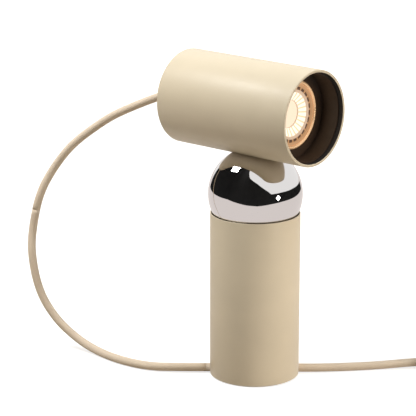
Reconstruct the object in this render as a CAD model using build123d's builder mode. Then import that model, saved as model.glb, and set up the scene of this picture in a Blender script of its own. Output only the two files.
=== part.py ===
"""Tabletop searchlight lamp: a spotlight head that rides by magnet on a polished steel ball.

The ball rests in the mouth of a weighted tube base.  The head carries a GU10 lamp bulb behind a
black baffle.  Its textile flex leaves the recessed rear cap, falls to the table in one loop, runs
through the slot under the base and goes on to an in-line rocker switch, a stored coil and a plug.

Frame: origin at the centre of the foot on the table, +X is the way the head shines, +Z is up.
Units are millimetres.
"""

import os
from math import cos, pi, radians, sin, sqrt, tan

from build123d import *

os.makedirs("parts", exist_ok=True)

# ---------------------------------------------------------------- driving dimensions
fit_clearance = 0.1        # gap all round where one piece is pressed, glued or screwed into another
running_gap = 0.3          # gap between the ball and what it rides in

foot_proud = 0.8           # the foot lifts the tube this far off the table
felt_thickness = 0.7
felt_inset = 0.7           # felt inside the bore of the base tube
foot_pad_thickness = 2.1
foot_pad_inset = 1.2
base_tube_diameter = 66.4
base_tube_wall = 1.0
base_tube_height = 124.4
tube_edge_chamfer = 0.3

weight_height = 47.0
weight_clearance = 0.2
weight_edge_chamfer = 1.0

ball_overhang = 3.2        # the ball is this much wider than the base tube
ball_wall = 2.0
ball_vent_diameter = 4.0

seat_ring_height = 6.0
seat_ring_below_rim = 1.5
seat_ring_width = 3.2

carrier_thickness = 2.0
carrier_skirt = 8.0
carrier_skirt_wall = 1.5
carrier_hole_diameter = 8.0
carrier_hole_inset = 6.2   # hole centres inside the bore of the base tube
pot_radius = 21.0
pot_wall = 1.8
pot_floor = 2.5
pot_height = 14.0
pot_drop = 3.4             # pot's rim straight below the ball's surface
magnet_gap = 1.0           # between a dished magnet and the ball
base_magnet_thickness = 11.0
base_magnet_bore = 14.0
column_diameter = 12.0
column_flange_diameter = 20.0
column_flange_thickness = 3.0
column_foot_diameter = 8.0
column_foot_depth = 13.0
column_stud_diameter = 6.0
column_stud_length = 10.0
column_nut_flats = 10.0
column_nut_height = 5.0

head_over_ball = 0.4       # the head is this much wider than the ball
head_wall = 2.0
head_front_x = 54.1
service_space = 17.1       # between the bracket's riser and the rear cap
head_sink = 5.5            # depth of the ball in the head's belly
head_edge_chamfer = 0.5
belly_gap = 0.8            # between the ball and the cut in the head tube

saddle_length = 36.0
saddle_width = 40.0
saddle_height = 10.7
head_magnet_diameter = 22.0
head_magnet_cover = 2.0    # top of the magnet below the saddle's top

bulb_diameter = 50.0
bulb_recess = 18.2         # bulb's face behind the front rim of the head
bulb_length = 46.0
bulb_base_diameter = 19.0
bulb_base_length = 13.0
bulb_rim_width = 2.6
bulb_rim_depth = 5.0
reflector_depth = 13.0
reflector_floor_radius = 12.0
emitter_diameter = 18.0
emitter_thickness = 1.5
lens_thickness = 3.0
lens_setback = 0.6
lens_dish_depth = 5.4      # lit centre behind the lens's front
lens_disc_radius = 10.0
lens_wedge_radius = 16.0
lens_step_depth = 1.2
lens_groove_depth = 1.7
lens_groove_radius = 18.2
lens_groove_width = 2.2
lens_web = 1.0
pin_spacing = 10.0
pin_neck_diameter = 3.0
pin_neck_length = 3.3
pin_head_diameter = 5.0
pin_head_length = 3.9
bulb_twist = 20.0          # degrees from locked to where the bulb lifts out

holder_diameter = 28.0
holder_length = 18.0
holder_plate = 2.3
holder_cavity_end = 11.0
holder_gap = 0.3
pin_slot_clearance = 0.4
wire_hole_diameter = 3.2
holder_screw_offset = 9.5

bracket_thickness = 1.5
bracket_width = 38.0
bracket_front_x = 14.0
bracket_riser_top = 14.0   # above the head's axis
bracket_bend_radius = 1.5
bracket_wire_hole = 16.0
saddle_screw_offset = 15.0

baffle_wall = 1.0
baffle_setback = 4.0       # baffle's front edge behind the rim of the head
baffle_flange = 1.5
bulb_side_gap = 0.4

cap_recess = 15.3          # rear cap's face inside the rear rim of the head
cap_thickness = 3.0
cap_skirt = 6.0
cap_skirt_wall = 1.5
standoff_flats = 5.5
standoff_y = 14.0
standoff_rise = 6.0

screw_diameter = 3.0
screw_head_diameter = 5.5
screw_head_height = 2.0
screw_length = 6.0
screw_cross_width = 0.6
screw_cross_length = 3.0
screw_cross_depth = 1.1

cord_diameter = 6.2
cord_lay_height = 3.2      # the cord's centre line where it lies on the table
lead_angle = 40.0          # direction of the slot under the base, about Z from +X
slot_clearance = 0.4       # each side of the cord
cord_stub_clear = 2.8      # straight cord outside the base tube on each side
exit_run = 14.5            # straight cord behind the grip

grip_length = 14.5         # outside the rear cap
grip_flange_diameter = 16.0
grip_flange_thickness = 2.5
grip_tip_diameter = 8.6
grip_root_diameter = 12.4
grip_thread_diameter = 10.0
grip_thread_length = 9.0
grip_ribs = 4
grip_groove_depth = 0.9
grip_tip_land = 1.5
grip_nut_flats = 17.0
grip_nut_height = 4.0

terminal_length = 14.0
terminal_width = 18.0
terminal_height = 10.0
terminal_drop = 10.3       # top of the block below the head's axis
terminal_pitch = 8.0
wire_diameter = 1.8

switch_length = 58.0
switch_width = 25.0
switch_height = 16.5
switch_angle = 48.0
switch_start = (88.5, 89.5)
switch_cord_height = 4.6
switch_wall = 1.6
switch_port_depth = 6.0
rocker_length = 19.0
rocker_width = 11.0
rocker_gap = 0.5
rocker_travel = 14.0       # degrees between on and off
rocker_pin_diameter = 2.4
rocker_top = 3.6           # level ramp above the pins
rocker_heel = 3.0          # rocker's underside below the pins
rocker_axis_drop = 3.4     # pins below the top of the cover

coil_centre = (198.0, 141.5)
coil_angle = 40.0          # heading of the cord where it runs on to the coil
coil_base = 0.9            # under the coil, room for its tie
coil_outer_turn = 40.6     # centre line of the outermost turn
coil_turns_wide = 3
coil_top_turn = 37.5
coil_layer_rise = 5.4
coil_slack = 0.1           # the coil's outer shape stands this far outside its turns
coil_entry = 24.0
coil_exit = 25.0
tie_width = 8.0
tie_thickness = 0.6
tie_gap = 0.6
tie_corner = 3.0

plug_length = 35.0
plug_width = 35.0
plug_thickness = 14.0
plug_pin_length = 19.0
plug_pin_diameter = 4.0
plug_pin_spacing = 18.6
plug_sleeve_length = 10.0
plug_shank_diameter = 3.0
plug_relief_length = 22.0
plug_relief_tip = 8.0
plug_relief_root = 11.0
tail_length = 21.0
tail_end_run = 6.5         # straight run at each end of the tail

# ---------------------------------------------------------------- worked out from them
base_radius = base_tube_diameter / 2
base_bore_radius = base_radius - base_tube_wall
rim_z = foot_proud + base_tube_height
felt_radius = base_bore_radius - felt_inset
foot_pad_radius = base_bore_radius - foot_pad_inset
carrier_hole_circle = base_bore_radius - carrier_hole_inset
seat_ring_inner_radius = base_bore_radius - seat_ring_width
cord_stub = base_radius + cord_stub_clear
ball_diameter = base_tube_diameter + ball_overhang
ball_radius = ball_diameter / 2
seat_radius = ball_radius + running_gap
ball_z = rim_z + sqrt(seat_radius**2 - base_bore_radius**2)
head_radius = (ball_diameter + head_over_ball) / 2
head_bore_radius = head_radius - head_wall
head_z = ball_z + ball_radius + head_radius - head_sink
weight_z = felt_thickness + foot_pad_thickness
weight_top_z = weight_z + weight_height
pot_z = ball_z - sqrt(ball_radius**2 - pot_radius**2) - pot_drop - pot_height
carrier_z = pot_z - carrier_thickness
pot_floor_z = pot_z + pot_floor
saddle_top_z = head_z - head_bore_radius + saddle_height
head_magnet_top_z = saddle_top_z - head_magnet_cover
bulb_face_x = head_front_x - bulb_recess
bulb_radius = bulb_diameter / 2
bulb_back_x = bulb_face_x - bulb_length
holder_face_x = bulb_back_x - holder_gap
holder_back_x = holder_face_x - holder_length
riser_back_x = holder_back_x - bracket_thickness
cap_inside_x = riser_back_x - service_space
cap_face_x = cap_inside_x - cap_thickness
head_rear_x = cap_face_x - cap_recess
grip_tip_x = cap_face_x - grip_length
cord_radius = cord_diameter / 2
cord_bore_radius = cord_radius + fit_clearance
slot_cord_z = felt_thickness + cord_bore_radius
slot_half_width = cord_radius + slot_clearance
lead_x = cos(radians(lead_angle))
lead_y = sin(radians(lead_angle))
pin_angle = 90.0           # the locked pins stand above and below the head's axis

ball_centre = Location((0, 0, ball_z))


def head_station(x):
    """Plane across the head at x: its own X is the lamp's Y and its own Y is up."""
    return Plane(origin=(x, 0, head_z), x_dir=(0, 1, 0), z_dir=(1, 0, 0))


def screw_cross():
    """Cross recess of a pan-head screw, as a flat sketch."""
    with BuildSketch() as cross:
        Rectangle(screw_cross_length, screw_cross_width)
        Rectangle(screw_cross_width, screw_cross_length)
    return cross.sketch


def route_radii(points):
    """Radius of the bend at each inner point, as large as its two runs allow."""
    corners = [Vector(*point) for point in points]
    radii = []
    for before, corner, after in zip(corners, corners[1:], corners[2:]):
        run_in = corner - before
        run_out = after - corner
        half_turn = radians(run_in.get_angle(run_out)) / 2
        radii.append(0.45 * min(run_in.length, run_out.length) / tan(half_turn))
    return radii


def round_run(points, radius, name):
    """A round cord or wire along straight runs that are joined by tangent arcs."""
    radii = route_radii(points)
    print(name, "bend radii", [round(value, 1) for value in radii])
    with BuildPart() as run:
        with BuildLine() as path:
            FilletPolyline(*points, radius=radii)
        with BuildSketch(Plane(origin=path.line @ 0, z_dir=path.line % 0)):
            Circle(radius)
        sweep()
    length = sum(edge.length for edge in path.edges())
    fill = run.part.volume / (pi * radius**2 * length)
    print(name, "length", round(length, 1), "volume over section times length", round(fill, 4))
    return run


# ================================================================ BASE
# Painted steel tube with a slot at each side for the flex.
with BuildPart() as base_tube:
    with BuildSketch(Plane.XY.offset(foot_proud)):
        Circle(base_radius)
        Circle(base_bore_radius, mode=Mode.SUBTRACT)
    extrude(amount=base_tube_height)
    chamfer(base_tube.edges().filter_by(GeomType.CIRCLE), tube_edge_chamfer)
    with BuildSketch(Plane(origin=(0, 0, 0), x_dir=(-lead_y, lead_x, 0), z_dir=(lead_x, lead_y, 0))):
        with Locations((0, slot_cord_z)):
            Circle(slot_half_width)
        with Locations((0, slot_cord_z / 2)):
            Rectangle(2 * slot_half_width, slot_cord_z)
    extrude(amount=base_radius + base_tube_wall, both=True, mode=Mode.SUBTRACT)
base_tube.part.label = "base_tube"
export_step(base_tube.part, "parts/base_tube.step")

# Cast iron weight, grooved below for the flex and bored above for the column.
with BuildPart() as base_weight:
    with BuildSketch(Plane.XY.offset(weight_z)):
        Circle(base_bore_radius - weight_clearance)
    extrude(amount=weight_height)
    chamfer(base_weight.edges().filter_by(GeomType.CIRCLE), weight_edge_chamfer)
    with BuildSketch(Plane(origin=(0, 0, 0), x_dir=(-lead_y, lead_x, 0), z_dir=(lead_x, lead_y, 0))):
        with Locations((0, slot_cord_z)):
            Circle(slot_half_width)
        with Locations((0, slot_cord_z / 2)):
            Rectangle(2 * slot_half_width, slot_cord_z)
    extrude(amount=base_radius, both=True, mode=Mode.SUBTRACT)
    with Locations((0, 0, weight_top_z)):
        Hole(column_foot_diameter / 2 + fit_clearance, depth=column_foot_depth + running_gap)
base_weight.part.label = "base_weight"
export_step(base_weight.part, "parts/base_weight.step")

# Felt disc that the lamp stands on.
with BuildPart() as foot_felt:
    with BuildSketch(Plane.XY):
        Circle(felt_radius)
    extrude(amount=felt_thickness)
foot_felt.part.label = "foot_felt"
export_step(foot_felt.part, "parts/foot_felt.step")

# Two D-shaped rubber pads on the felt, one each side of the flex.
with BuildPart() as foot_pads:
    with BuildSketch(Plane.XY.offset(felt_thickness)):
        Circle(foot_pad_radius)
        Rectangle(2 * foot_pad_radius, 2 * slot_half_width, rotation=lead_angle, mode=Mode.SUBTRACT)
    extrude(amount=foot_pad_thickness)
foot_pads.part.label = "foot_pads"
export_step(foot_pads.part, "parts/foot_pads.step")

# Turned column that stands on the weight and carries the magnet pot.
stud_top_z = pot_z + column_stud_length
with BuildPart() as magnet_column:
    with BuildSketch(Plane.XZ):
        with BuildLine():
            Polyline(
                (0, weight_top_z - column_foot_depth),
                (column_foot_diameter / 2, weight_top_z - column_foot_depth),
                (column_foot_diameter / 2, weight_top_z),
                (column_flange_diameter / 2, weight_top_z),
                (column_flange_diameter / 2, weight_top_z + column_flange_thickness),
                (column_diameter / 2, weight_top_z + column_flange_thickness),
                (column_diameter / 2, carrier_z),
                (column_stud_diameter / 2, carrier_z),
                (column_stud_diameter / 2, stud_top_z),
                (0, stud_top_z),
                close=True,
            )
        make_face()
    revolve(axis=Axis.Z)
magnet_column.part.label = "magnet_column"
export_step(magnet_column.part, "parts/magnet_column.step")

# Pressed steel carrier that centres the column in the tube.
with BuildPart() as carrier_disc:
    with BuildSketch(Plane.XY.offset(carrier_z - carrier_skirt)):
        Circle(base_bore_radius - fit_clearance)
    extrude(amount=carrier_skirt + carrier_thickness)
    with BuildSketch(Plane.XY.offset(carrier_z - carrier_skirt)):
        Circle(base_bore_radius - fit_clearance - carrier_skirt_wall)
    extrude(amount=carrier_skirt, mode=Mode.SUBTRACT)
    with BuildSketch(Plane.XY.offset(carrier_z)):
        Circle(column_stud_diameter / 2 + fit_clearance)
        with PolarLocations(carrier_hole_circle, 4):
            Circle(carrier_hole_diameter / 2)
    extrude(amount=carrier_thickness, mode=Mode.SUBTRACT)
    fillet(carrier_disc.edges().group_by(Axis.Z)[-1].sort_by(SortBy.LENGTH)[-1], carrier_thickness / 2)
carrier_disc.part.label = "carrier_disc"
export_step(carrier_disc.part, "parts/carrier_disc.step")

# Steel pot that turns the magnet's field up to the ball.
with BuildPart() as magnet_pot:
    with BuildSketch(Plane.XY.offset(pot_z)):
        Circle(pot_radius)
    extrude(amount=pot_height)
    with BuildSketch(Plane.XY.offset(pot_floor_z)):
        Circle(pot_radius - pot_wall)
    extrude(amount=pot_height, mode=Mode.SUBTRACT)
    with Locations((0, 0, pot_z)):
        Cylinder(column_stud_diameter / 2 + fit_clearance, 3 * pot_floor, mode=Mode.SUBTRACT)
magnet_pot.part.label = "magnet_pot"
export_step(magnet_pot.part, "parts/magnet_pot.step")

# Ring magnet, dished to follow the ball.
with BuildPart() as base_magnet:
    with BuildSketch(Plane.XY.offset(pot_floor_z)):
        Circle(pot_radius - pot_wall - fit_clearance)
        Circle(base_magnet_bore / 2, mode=Mode.SUBTRACT)
    extrude(amount=base_magnet_thickness)
    with Locations(ball_centre):
        Sphere(ball_radius + magnet_gap, mode=Mode.SUBTRACT)
base_magnet.part.label = "base_magnet"
export_step(base_magnet.part, "parts/base_magnet.step")

# Hexagon nut that holds pot and carrier on the column.
with BuildPart() as column_nut:
    with BuildSketch(Plane.XY.offset(pot_floor_z)):
        RegularPolygon(column_nut_flats / 2, 6, major_radius=False)
        Circle(column_stud_diameter / 2 + fit_clearance, mode=Mode.SUBTRACT)
    extrude(amount=column_nut_height)
column_nut.part.label = "column_nut"
export_step(column_nut.part, "parts/column_nut.step")

# Nylon ring in the mouth of the tube, turned to the ball's curve.
with BuildPart() as seat_ring:
    with BuildSketch(Plane.XY.offset(rim_z - seat_ring_below_rim - seat_ring_height)):
        Circle(base_bore_radius - fit_clearance)
        Circle(seat_ring_inner_radius, mode=Mode.SUBTRACT)
    extrude(amount=seat_ring_height)
    with Locations(ball_centre):
        Sphere(seat_radius, mode=Mode.SUBTRACT)
seat_ring.part.label = "seat_ring"
export_step(seat_ring.part, "parts/seat_ring.step")

# ================================================================ BALL
# Hollow polished steel ball, vented at its foot.
with BuildPart() as ball_shell:
    with Locations(ball_centre):
        Sphere(ball_radius)
        Sphere(ball_radius - ball_wall, mode=Mode.SUBTRACT)
    with Locations((0, 0, ball_z - ball_radius)):
        Cylinder(ball_vent_diameter / 2, 3 * ball_wall, mode=Mode.SUBTRACT)
ball_shell.part.label = "ball_shell"
export_step(ball_shell.part, "parts/ball_shell.step")

# ================================================================ HEAD
# Painted aluminium tube, its belly hollowed where it rides on the ball.
with BuildPart() as head_tube:
    with BuildSketch(head_station(head_rear_x)):
        Circle(head_radius)
        Circle(head_bore_radius, mode=Mode.SUBTRACT)
    extrude(amount=head_front_x - head_rear_x)
    chamfer(head_tube.edges().filter_by(GeomType.CIRCLE), head_edge_chamfer)
    with Locations(ball_centre):
        Sphere(ball_radius + belly_gap, mode=Mode.SUBTRACT)
head_tube.part.label = "head_tube"
export_step(head_tube.part, "parts/head_tube.step")

# Die-cast saddle with the ball's curve below, a magnet pocket and two tapped holes.
with BuildPart() as saddle:
    with BuildSketch(Plane.XY.offset(saddle_top_z)):
        RectangleRounded(saddle_length, saddle_width, 4)
    extrude(amount=-saddle_height)
    with BuildSketch(head_station(-saddle_length)):
        Circle(head_bore_radius - fit_clearance)
    extrude(amount=2 * saddle_length, mode=Mode.INTERSECT)
    with Locations(ball_centre):
        Sphere(seat_radius, mode=Mode.SUBTRACT)
    with BuildSketch(Plane.XY.offset(head_magnet_top_z)):
        Circle(head_magnet_diameter / 2 + fit_clearance)
    extrude(amount=-head_radius, mode=Mode.SUBTRACT)
    with Locations((0, saddle_screw_offset, saddle_top_z), (0, -saddle_screw_offset, saddle_top_z)):
        Cylinder(screw_diameter / 2 + fit_clearance, 2 * (screw_length - bracket_thickness + running_gap),
                 mode=Mode.SUBTRACT)
saddle.part.label = "saddle"
export_step(saddle.part, "parts/saddle.step")

# Disc magnet in the saddle, dished to follow the ball.
with BuildPart() as head_magnet:
    with BuildSketch(Plane.XY.offset(head_magnet_top_z)):
        Circle(head_magnet_diameter / 2)
    extrude(amount=head_z - head_radius - head_magnet_top_z)
    with Locations(ball_centre):
        Sphere(ball_radius + magnet_gap, mode=Mode.SUBTRACT)
head_magnet.part.label = "head_magnet"
export_step(head_magnet.part, "parts/head_magnet.step")

# Bent steel bracket: its foot is on the saddle, its riser carries the lampholder.
foot_top_z = saddle_top_z + bracket_thickness
riser_top_z = head_z + bracket_riser_top
with BuildPart() as bracket:
    with BuildSketch(Plane.XZ):
        with BuildLine():
            Polyline(
                (bracket_front_x, saddle_top_z),
                (bracket_front_x, foot_top_z),
                (holder_back_x, foot_top_z),
                (holder_back_x, riser_top_z),
                (riser_back_x, riser_top_z),
                (riser_back_x, saddle_top_z),
                close=True,
            )
        make_face()
    extrude(amount=bracket_width / 2, both=True)
    bend = bracket.edges().filter_by(Axis.Y)
    fillet(bend.filter_by_position(Axis.Z, foot_top_z, foot_top_z).sort_by(Axis.X)[0], bracket_bend_radius)
    outer_bend = bracket.edges().filter_by(Axis.Y).group_by(Axis.Z)[0].sort_by(Axis.X)[0]
    fillet(outer_bend, bracket_bend_radius + bracket_thickness)
    fillet(bracket.edges().filter_by(Axis.X).group_by(Axis.Z)[-1], bracket_riser_top / 2)
    with BuildSketch(Plane.XY.offset(saddle_top_z)):
        with Locations((0, saddle_screw_offset), (0, -saddle_screw_offset)):
            Circle(screw_diameter / 2 + fit_clearance)
    extrude(amount=bracket_thickness, mode=Mode.SUBTRACT)
    with BuildSketch(head_station(riser_back_x)):
        Circle(bracket_wire_hole / 2)
        with Locations((holder_screw_offset, 0), (-holder_screw_offset, 0)):
            Circle(screw_diameter / 2 + fit_clearance)
        with Locations((standoff_y, standoff_rise), (-standoff_y, standoff_rise)):
            Circle(screw_diameter / 2 + fit_clearance)
    extrude(amount=bracket_thickness, mode=Mode.SUBTRACT)
bracket.part.label = "bracket"
export_step(bracket.part, "parts/bracket.step")

# Two pan-head screws that hold the bracket on the saddle.
with BuildPart() as bracket_screws:
    with BuildSketch(Plane.XY.offset(foot_top_z)):
        with Locations((0, saddle_screw_offset), (0, -saddle_screw_offset)):
            Circle(screw_head_diameter / 2)
    extrude(amount=screw_head_height)
    fillet(bracket_screws.edges().group_by(Axis.Z)[-1], screw_head_height / 3)
    with BuildSketch(Plane.XY.offset(foot_top_z + screw_head_height)):
        with Locations((0, saddle_screw_offset), (0, -saddle_screw_offset)):
            add(screw_cross())
    extrude(amount=-screw_cross_depth, mode=Mode.SUBTRACT)
    with BuildSketch(Plane.XY.offset(foot_top_z)):
        with Locations((0, saddle_screw_offset), (0, -saddle_screw_offset)):
            Circle(screw_diameter / 2)
    extrude(amount=-screw_length)
bracket_screws.part.label = "bracket_screws"
export_step(bracket_screws.part, "parts/bracket_screws.step")

# Ceramic GU10 lampholder: a keyhole for each pin, and behind its face room for the pin's head.
pin_circle = pin_spacing / 2
neck_slot = pin_neck_diameter + 2 * pin_slot_clearance
head_slot = pin_head_diameter + 2 * pin_slot_clearance


def pin_slots(width):
    """The two arcs that the pins sweep from locked to free, this wide, as a flat sketch."""
    with BuildSketch() as slots:
        for side in (0, 180):
            with BuildLine():
                CenterArc((0, 0), pin_circle, pin_angle + side, bulb_twist)
            trace(line_width=width)
        for angle in (pin_angle, pin_angle + bulb_twist):
            with PolarLocations(pin_circle, 2, start_angle=angle):
                Circle(width / 2)
    return slots.sketch


with BuildPart() as lampholder:
    with BuildSketch(head_station(holder_face_x)):
        Circle(holder_diameter / 2)
    extrude(amount=-holder_length)
    chamfer(lampholder.edges().filter_by(GeomType.CIRCLE), screw_head_height / 2)
    with BuildSketch(head_station(holder_face_x)):
        add(pin_slots(neck_slot))
        with PolarLocations(pin_circle, 2, start_angle=pin_angle + bulb_twist):
            Circle(head_slot / 2)
    extrude(amount=-holder_plate, mode=Mode.SUBTRACT)
    with BuildSketch(head_station(holder_face_x - holder_plate)):
        add(pin_slots(head_slot))
    extrude(amount=holder_plate - holder_cavity_end, mode=Mode.SUBTRACT)
    with BuildSketch(head_station(holder_back_x)):
        with PolarLocations(pin_circle, 2, start_angle=pin_angle):
            Circle(wire_hole_diameter / 2)
        with Locations((holder_screw_offset, 0), (-holder_screw_offset, 0)):
            Circle(screw_diameter / 2 + fit_clearance)
    extrude(amount=holder_length - holder_cavity_end, mode=Mode.SUBTRACT)
lampholder.part.label = "lampholder"
export_step(lampholder.part, "parts/lampholder.step")

# Two brass contacts behind the pins.
pin_tip_x = bulb_back_x - pin_neck_length - pin_head_length
with BuildPart() as holder_contacts:
    with BuildSketch(head_station(pin_tip_x - running_gap)):
        with PolarLocations(pin_circle, 2, start_angle=pin_angle):
            Circle(pin_head_diameter / 2)
    extrude(amount=-(holder_cavity_end - (holder_face_x - pin_tip_x) - running_gap))
holder_contacts.part.label = "holder_contacts"
export_step(holder_contacts.part, "parts/holder_contacts.step")

# Two screws from behind the riser into the lampholder.
with BuildPart() as holder_screws:
    with BuildSketch(head_station(riser_back_x)):
        with Locations((holder_screw_offset, 0), (-holder_screw_offset, 0)):
            Circle(screw_head_diameter / 2)
    extrude(amount=-screw_head_height)
    fillet(holder_screws.edges().group_by(Axis.X)[0], screw_head_height / 3)
    with BuildSketch(head_station(riser_back_x - screw_head_height)):
        with Locations((holder_screw_offset, 0), (-holder_screw_offset, 0)):
            add(screw_cross())
    extrude(amount=screw_cross_depth, mode=Mode.SUBTRACT)
    with BuildSketch(head_station(riser_back_x)):
        with Locations((holder_screw_offset, 0), (-holder_screw_offset, 0)):
            Circle(screw_diameter / 2)
    extrude(amount=screw_length)
holder_screws.part.label = "holder_screws"
export_step(holder_screws.part, "parts/holder_screws.step")

# Black baffle sleeve, flanged inwards round the bulb.
baffle_front_x = head_front_x - baffle_setback
baffle_back_x = bulb_face_x - baffle_flange
with BuildPart() as baffle:
    with BuildSketch(head_station(baffle_back_x)):
        Circle(head_bore_radius - fit_clearance)
        Circle(bulb_radius + bulb_side_gap, mode=Mode.SUBTRACT)
    extrude(amount=baffle_flange)
    with BuildSketch(head_station(baffle_back_x)):
        Circle(head_bore_radius - fit_clearance)
        Circle(head_bore_radius - fit_clearance - baffle_wall, mode=Mode.SUBTRACT)
    extrude(amount=baffle_front_x - baffle_back_x)
baffle.part.label = "baffle"
export_step(baffle.part, "parts/baffle.step")

# Rear cap: a cup that closes the tube, set in from the rim.
with BuildPart() as rear_cap:
    with BuildSketch(head_station(cap_face_x)):
        Circle(head_bore_radius - fit_clearance)
    extrude(amount=cap_thickness + cap_skirt)
    with BuildSketch(head_station(cap_inside_x)):
        Circle(head_bore_radius - fit_clearance - cap_skirt_wall)
    extrude(amount=cap_skirt, mode=Mode.SUBTRACT)
    chamfer(rear_cap.edges().group_by(Axis.X)[0], head_edge_chamfer)
    with BuildSketch(head_station(cap_face_x)):
        Circle(grip_thread_diameter / 2 + fit_clearance)
        with Locations((standoff_y, standoff_rise), (-standoff_y, standoff_rise)):
            Circle(screw_diameter / 2 + fit_clearance)
    extrude(amount=cap_thickness, mode=Mode.SUBTRACT)
rear_cap.part.label = "rear_cap"
export_step(rear_cap.part, "parts/rear_cap.step")

# Two hexagon standoffs from the riser to the rear cap, with a spigot in the riser.
with BuildPart() as cap_standoffs:
    with BuildSketch(head_station(cap_inside_x)):
        with Locations((standoff_y, standoff_rise), (-standoff_y, standoff_rise)):
            RegularPolygon(standoff_flats / 2, 6, major_radius=False)
            Circle(screw_diameter / 2 + fit_clearance, mode=Mode.SUBTRACT)
    extrude(amount=screw_length)
    with BuildSketch(head_station(cap_inside_x + screw_length)):
        with Locations((standoff_y, standoff_rise), (-standoff_y, standoff_rise)):
            RegularPolygon(standoff_flats / 2, 6, major_radius=False)
    extrude(amount=riser_back_x - cap_inside_x - screw_length)
    with BuildSketch(head_station(riser_back_x)):
        with Locations((standoff_y, standoff_rise), (-standoff_y, standoff_rise)):
            Circle(screw_diameter / 2)
    extrude(amount=bracket_thickness)
cap_standoffs.part.label = "cap_standoffs"
export_step(cap_standoffs.part, "parts/cap_standoffs.step")

# Two pan-head screws through the rear cap.
with BuildPart() as cap_screws:
    with BuildSketch(head_station(cap_face_x)):
        with Locations((standoff_y, standoff_rise), (-standoff_y, standoff_rise)):
            Circle(screw_head_diameter / 2)
    extrude(amount=-screw_head_height)
    fillet(cap_screws.edges().group_by(Axis.X)[0], screw_head_height / 3)
    with BuildSketch(head_station(cap_face_x - screw_head_height)):
        with Locations((standoff_y, standoff_rise), (-standoff_y, standoff_rise)):
            add(screw_cross())
    extrude(amount=screw_cross_depth, mode=Mode.SUBTRACT)
    with BuildSketch(head_station(cap_face_x)):
        with Locations((standoff_y, standoff_rise), (-standoff_y, standoff_rise)):
            Circle(screw_diameter / 2)
    extrude(amount=cap_thickness + screw_length - running_gap)
cap_screws.part.label = "cap_screws"
export_step(cap_screws.part, "parts/cap_screws.step")

# Tapered cord grip: flange and ribbed sleeve outside the rear cap, thread inside.
flange_back_x = cap_face_x - grip_flange_thickness
grip_rib_pitch = (grip_length - grip_flange_thickness - grip_tip_land) / grip_ribs
grip_taper = (grip_root_diameter - grip_tip_diameter) / 2 / grip_ribs
rib_outline = []
for rib in range(grip_ribs):
    rib_x = flange_back_x - rib * grip_rib_pitch
    rib_radius = grip_root_diameter / 2 - rib * grip_taper
    rib_outline += [
        (rib_x, rib_radius),
        (rib_x - 0.55 * grip_rib_pitch, rib_radius),
        (rib_x - 0.68 * grip_rib_pitch, rib_radius - grip_groove_depth),
        (rib_x - 0.9 * grip_rib_pitch, rib_radius - grip_groove_depth),
    ]
with BuildPart() as cord_grip:
    with BuildSketch(Plane.XZ.shift_origin((0, 0, head_z))):
        with BuildLine():
            Polyline(
                (grip_tip_x, cord_bore_radius),
                (grip_tip_x, grip_tip_diameter / 2),
                (grip_tip_x + grip_tip_land, grip_tip_diameter / 2),
                *reversed(rib_outline),
                (flange_back_x, grip_flange_diameter / 2),
                (cap_face_x, grip_flange_diameter / 2),
                (cap_face_x, grip_thread_diameter / 2),
                (cap_face_x + grip_thread_length, grip_thread_diameter / 2),
                (cap_face_x + grip_thread_length, cord_bore_radius),
                close=True,
            )
        make_face()
    revolve(axis=Axis((0, 0, head_z), (1, 0, 0)))
    fillet(cord_grip.edges().group_by(Axis.X)[0].sort_by(SortBy.LENGTH)[-1], 0.5)
cord_grip.part.label = "cord_grip"
export_step(cord_grip.part, "parts/cord_grip.step")

# Lock nut of the cord grip, inside the rear cap.
with BuildPart() as grip_nut:
    with BuildSketch(head_station(cap_inside_x)):
        RegularPolygon(grip_nut_flats / 2, 6, major_radius=False)
        Circle(grip_thread_diameter / 2 + fit_clearance, mode=Mode.SUBTRACT)
    extrude(amount=grip_nut_height)
grip_nut.part.label = "grip_nut"
export_step(grip_nut.part, "parts/grip_nut.step")

# Flex inside the grip, up to where its jacket is stripped.
jacket_end_x = cap_face_x + grip_thread_length + cord_radius
with BuildPart() as cord_in_head:
    with BuildSketch(head_station(grip_tip_x)):
        Circle(cord_radius)
    extrude(amount=jacket_end_x - grip_tip_x)
cord_in_head.part.label = "cord_in_head"
export_step(cord_in_head.part, "parts/cord_in_head.step")

# Two-pole terminal block on the back of the riser, with a bore for each wire.
terminal_top_z = head_z - terminal_drop
terminal_mid_x = riser_back_x - terminal_length / 2
terminal_screw_x = terminal_length / 4
terminal_screw_places = [
    (terminal_mid_x + dx, dy)
    for dx in (-terminal_screw_x, terminal_screw_x)
    for dy in (-terminal_pitch / 2, terminal_pitch / 2)
]
terminal_screw_depth = terminal_height / 2
with BuildPart() as terminal_block:
    with BuildSketch(Plane.XY.offset(terminal_top_z)):
        with Locations((terminal_mid_x, 0)):
            RectangleRounded(terminal_length, terminal_width, 1)
    extrude(amount=-terminal_height)
    with BuildSketch(Plane.XY.offset(terminal_top_z)):
        with Locations(*terminal_screw_places):
            Circle(screw_diameter / 2 + fit_clearance)
    extrude(amount=-terminal_screw_depth, mode=Mode.SUBTRACT)
terminal_block.part.label = "terminal_block"
export_step(terminal_block.part, "parts/terminal_block.step")

# Four clamp screws in the terminal block.
with BuildPart() as terminal_screws:
    with BuildSketch(Plane.XY.offset(terminal_top_z - terminal_screw_depth)):
        with Locations(*terminal_screw_places):
            Circle(screw_diameter / 2)
    extrude(amount=terminal_screw_depth - screw_head_height / 2)
terminal_screws.part.label = "terminal_screws"
export_step(terminal_screws.part, "parts/terminal_screws.step")

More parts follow.
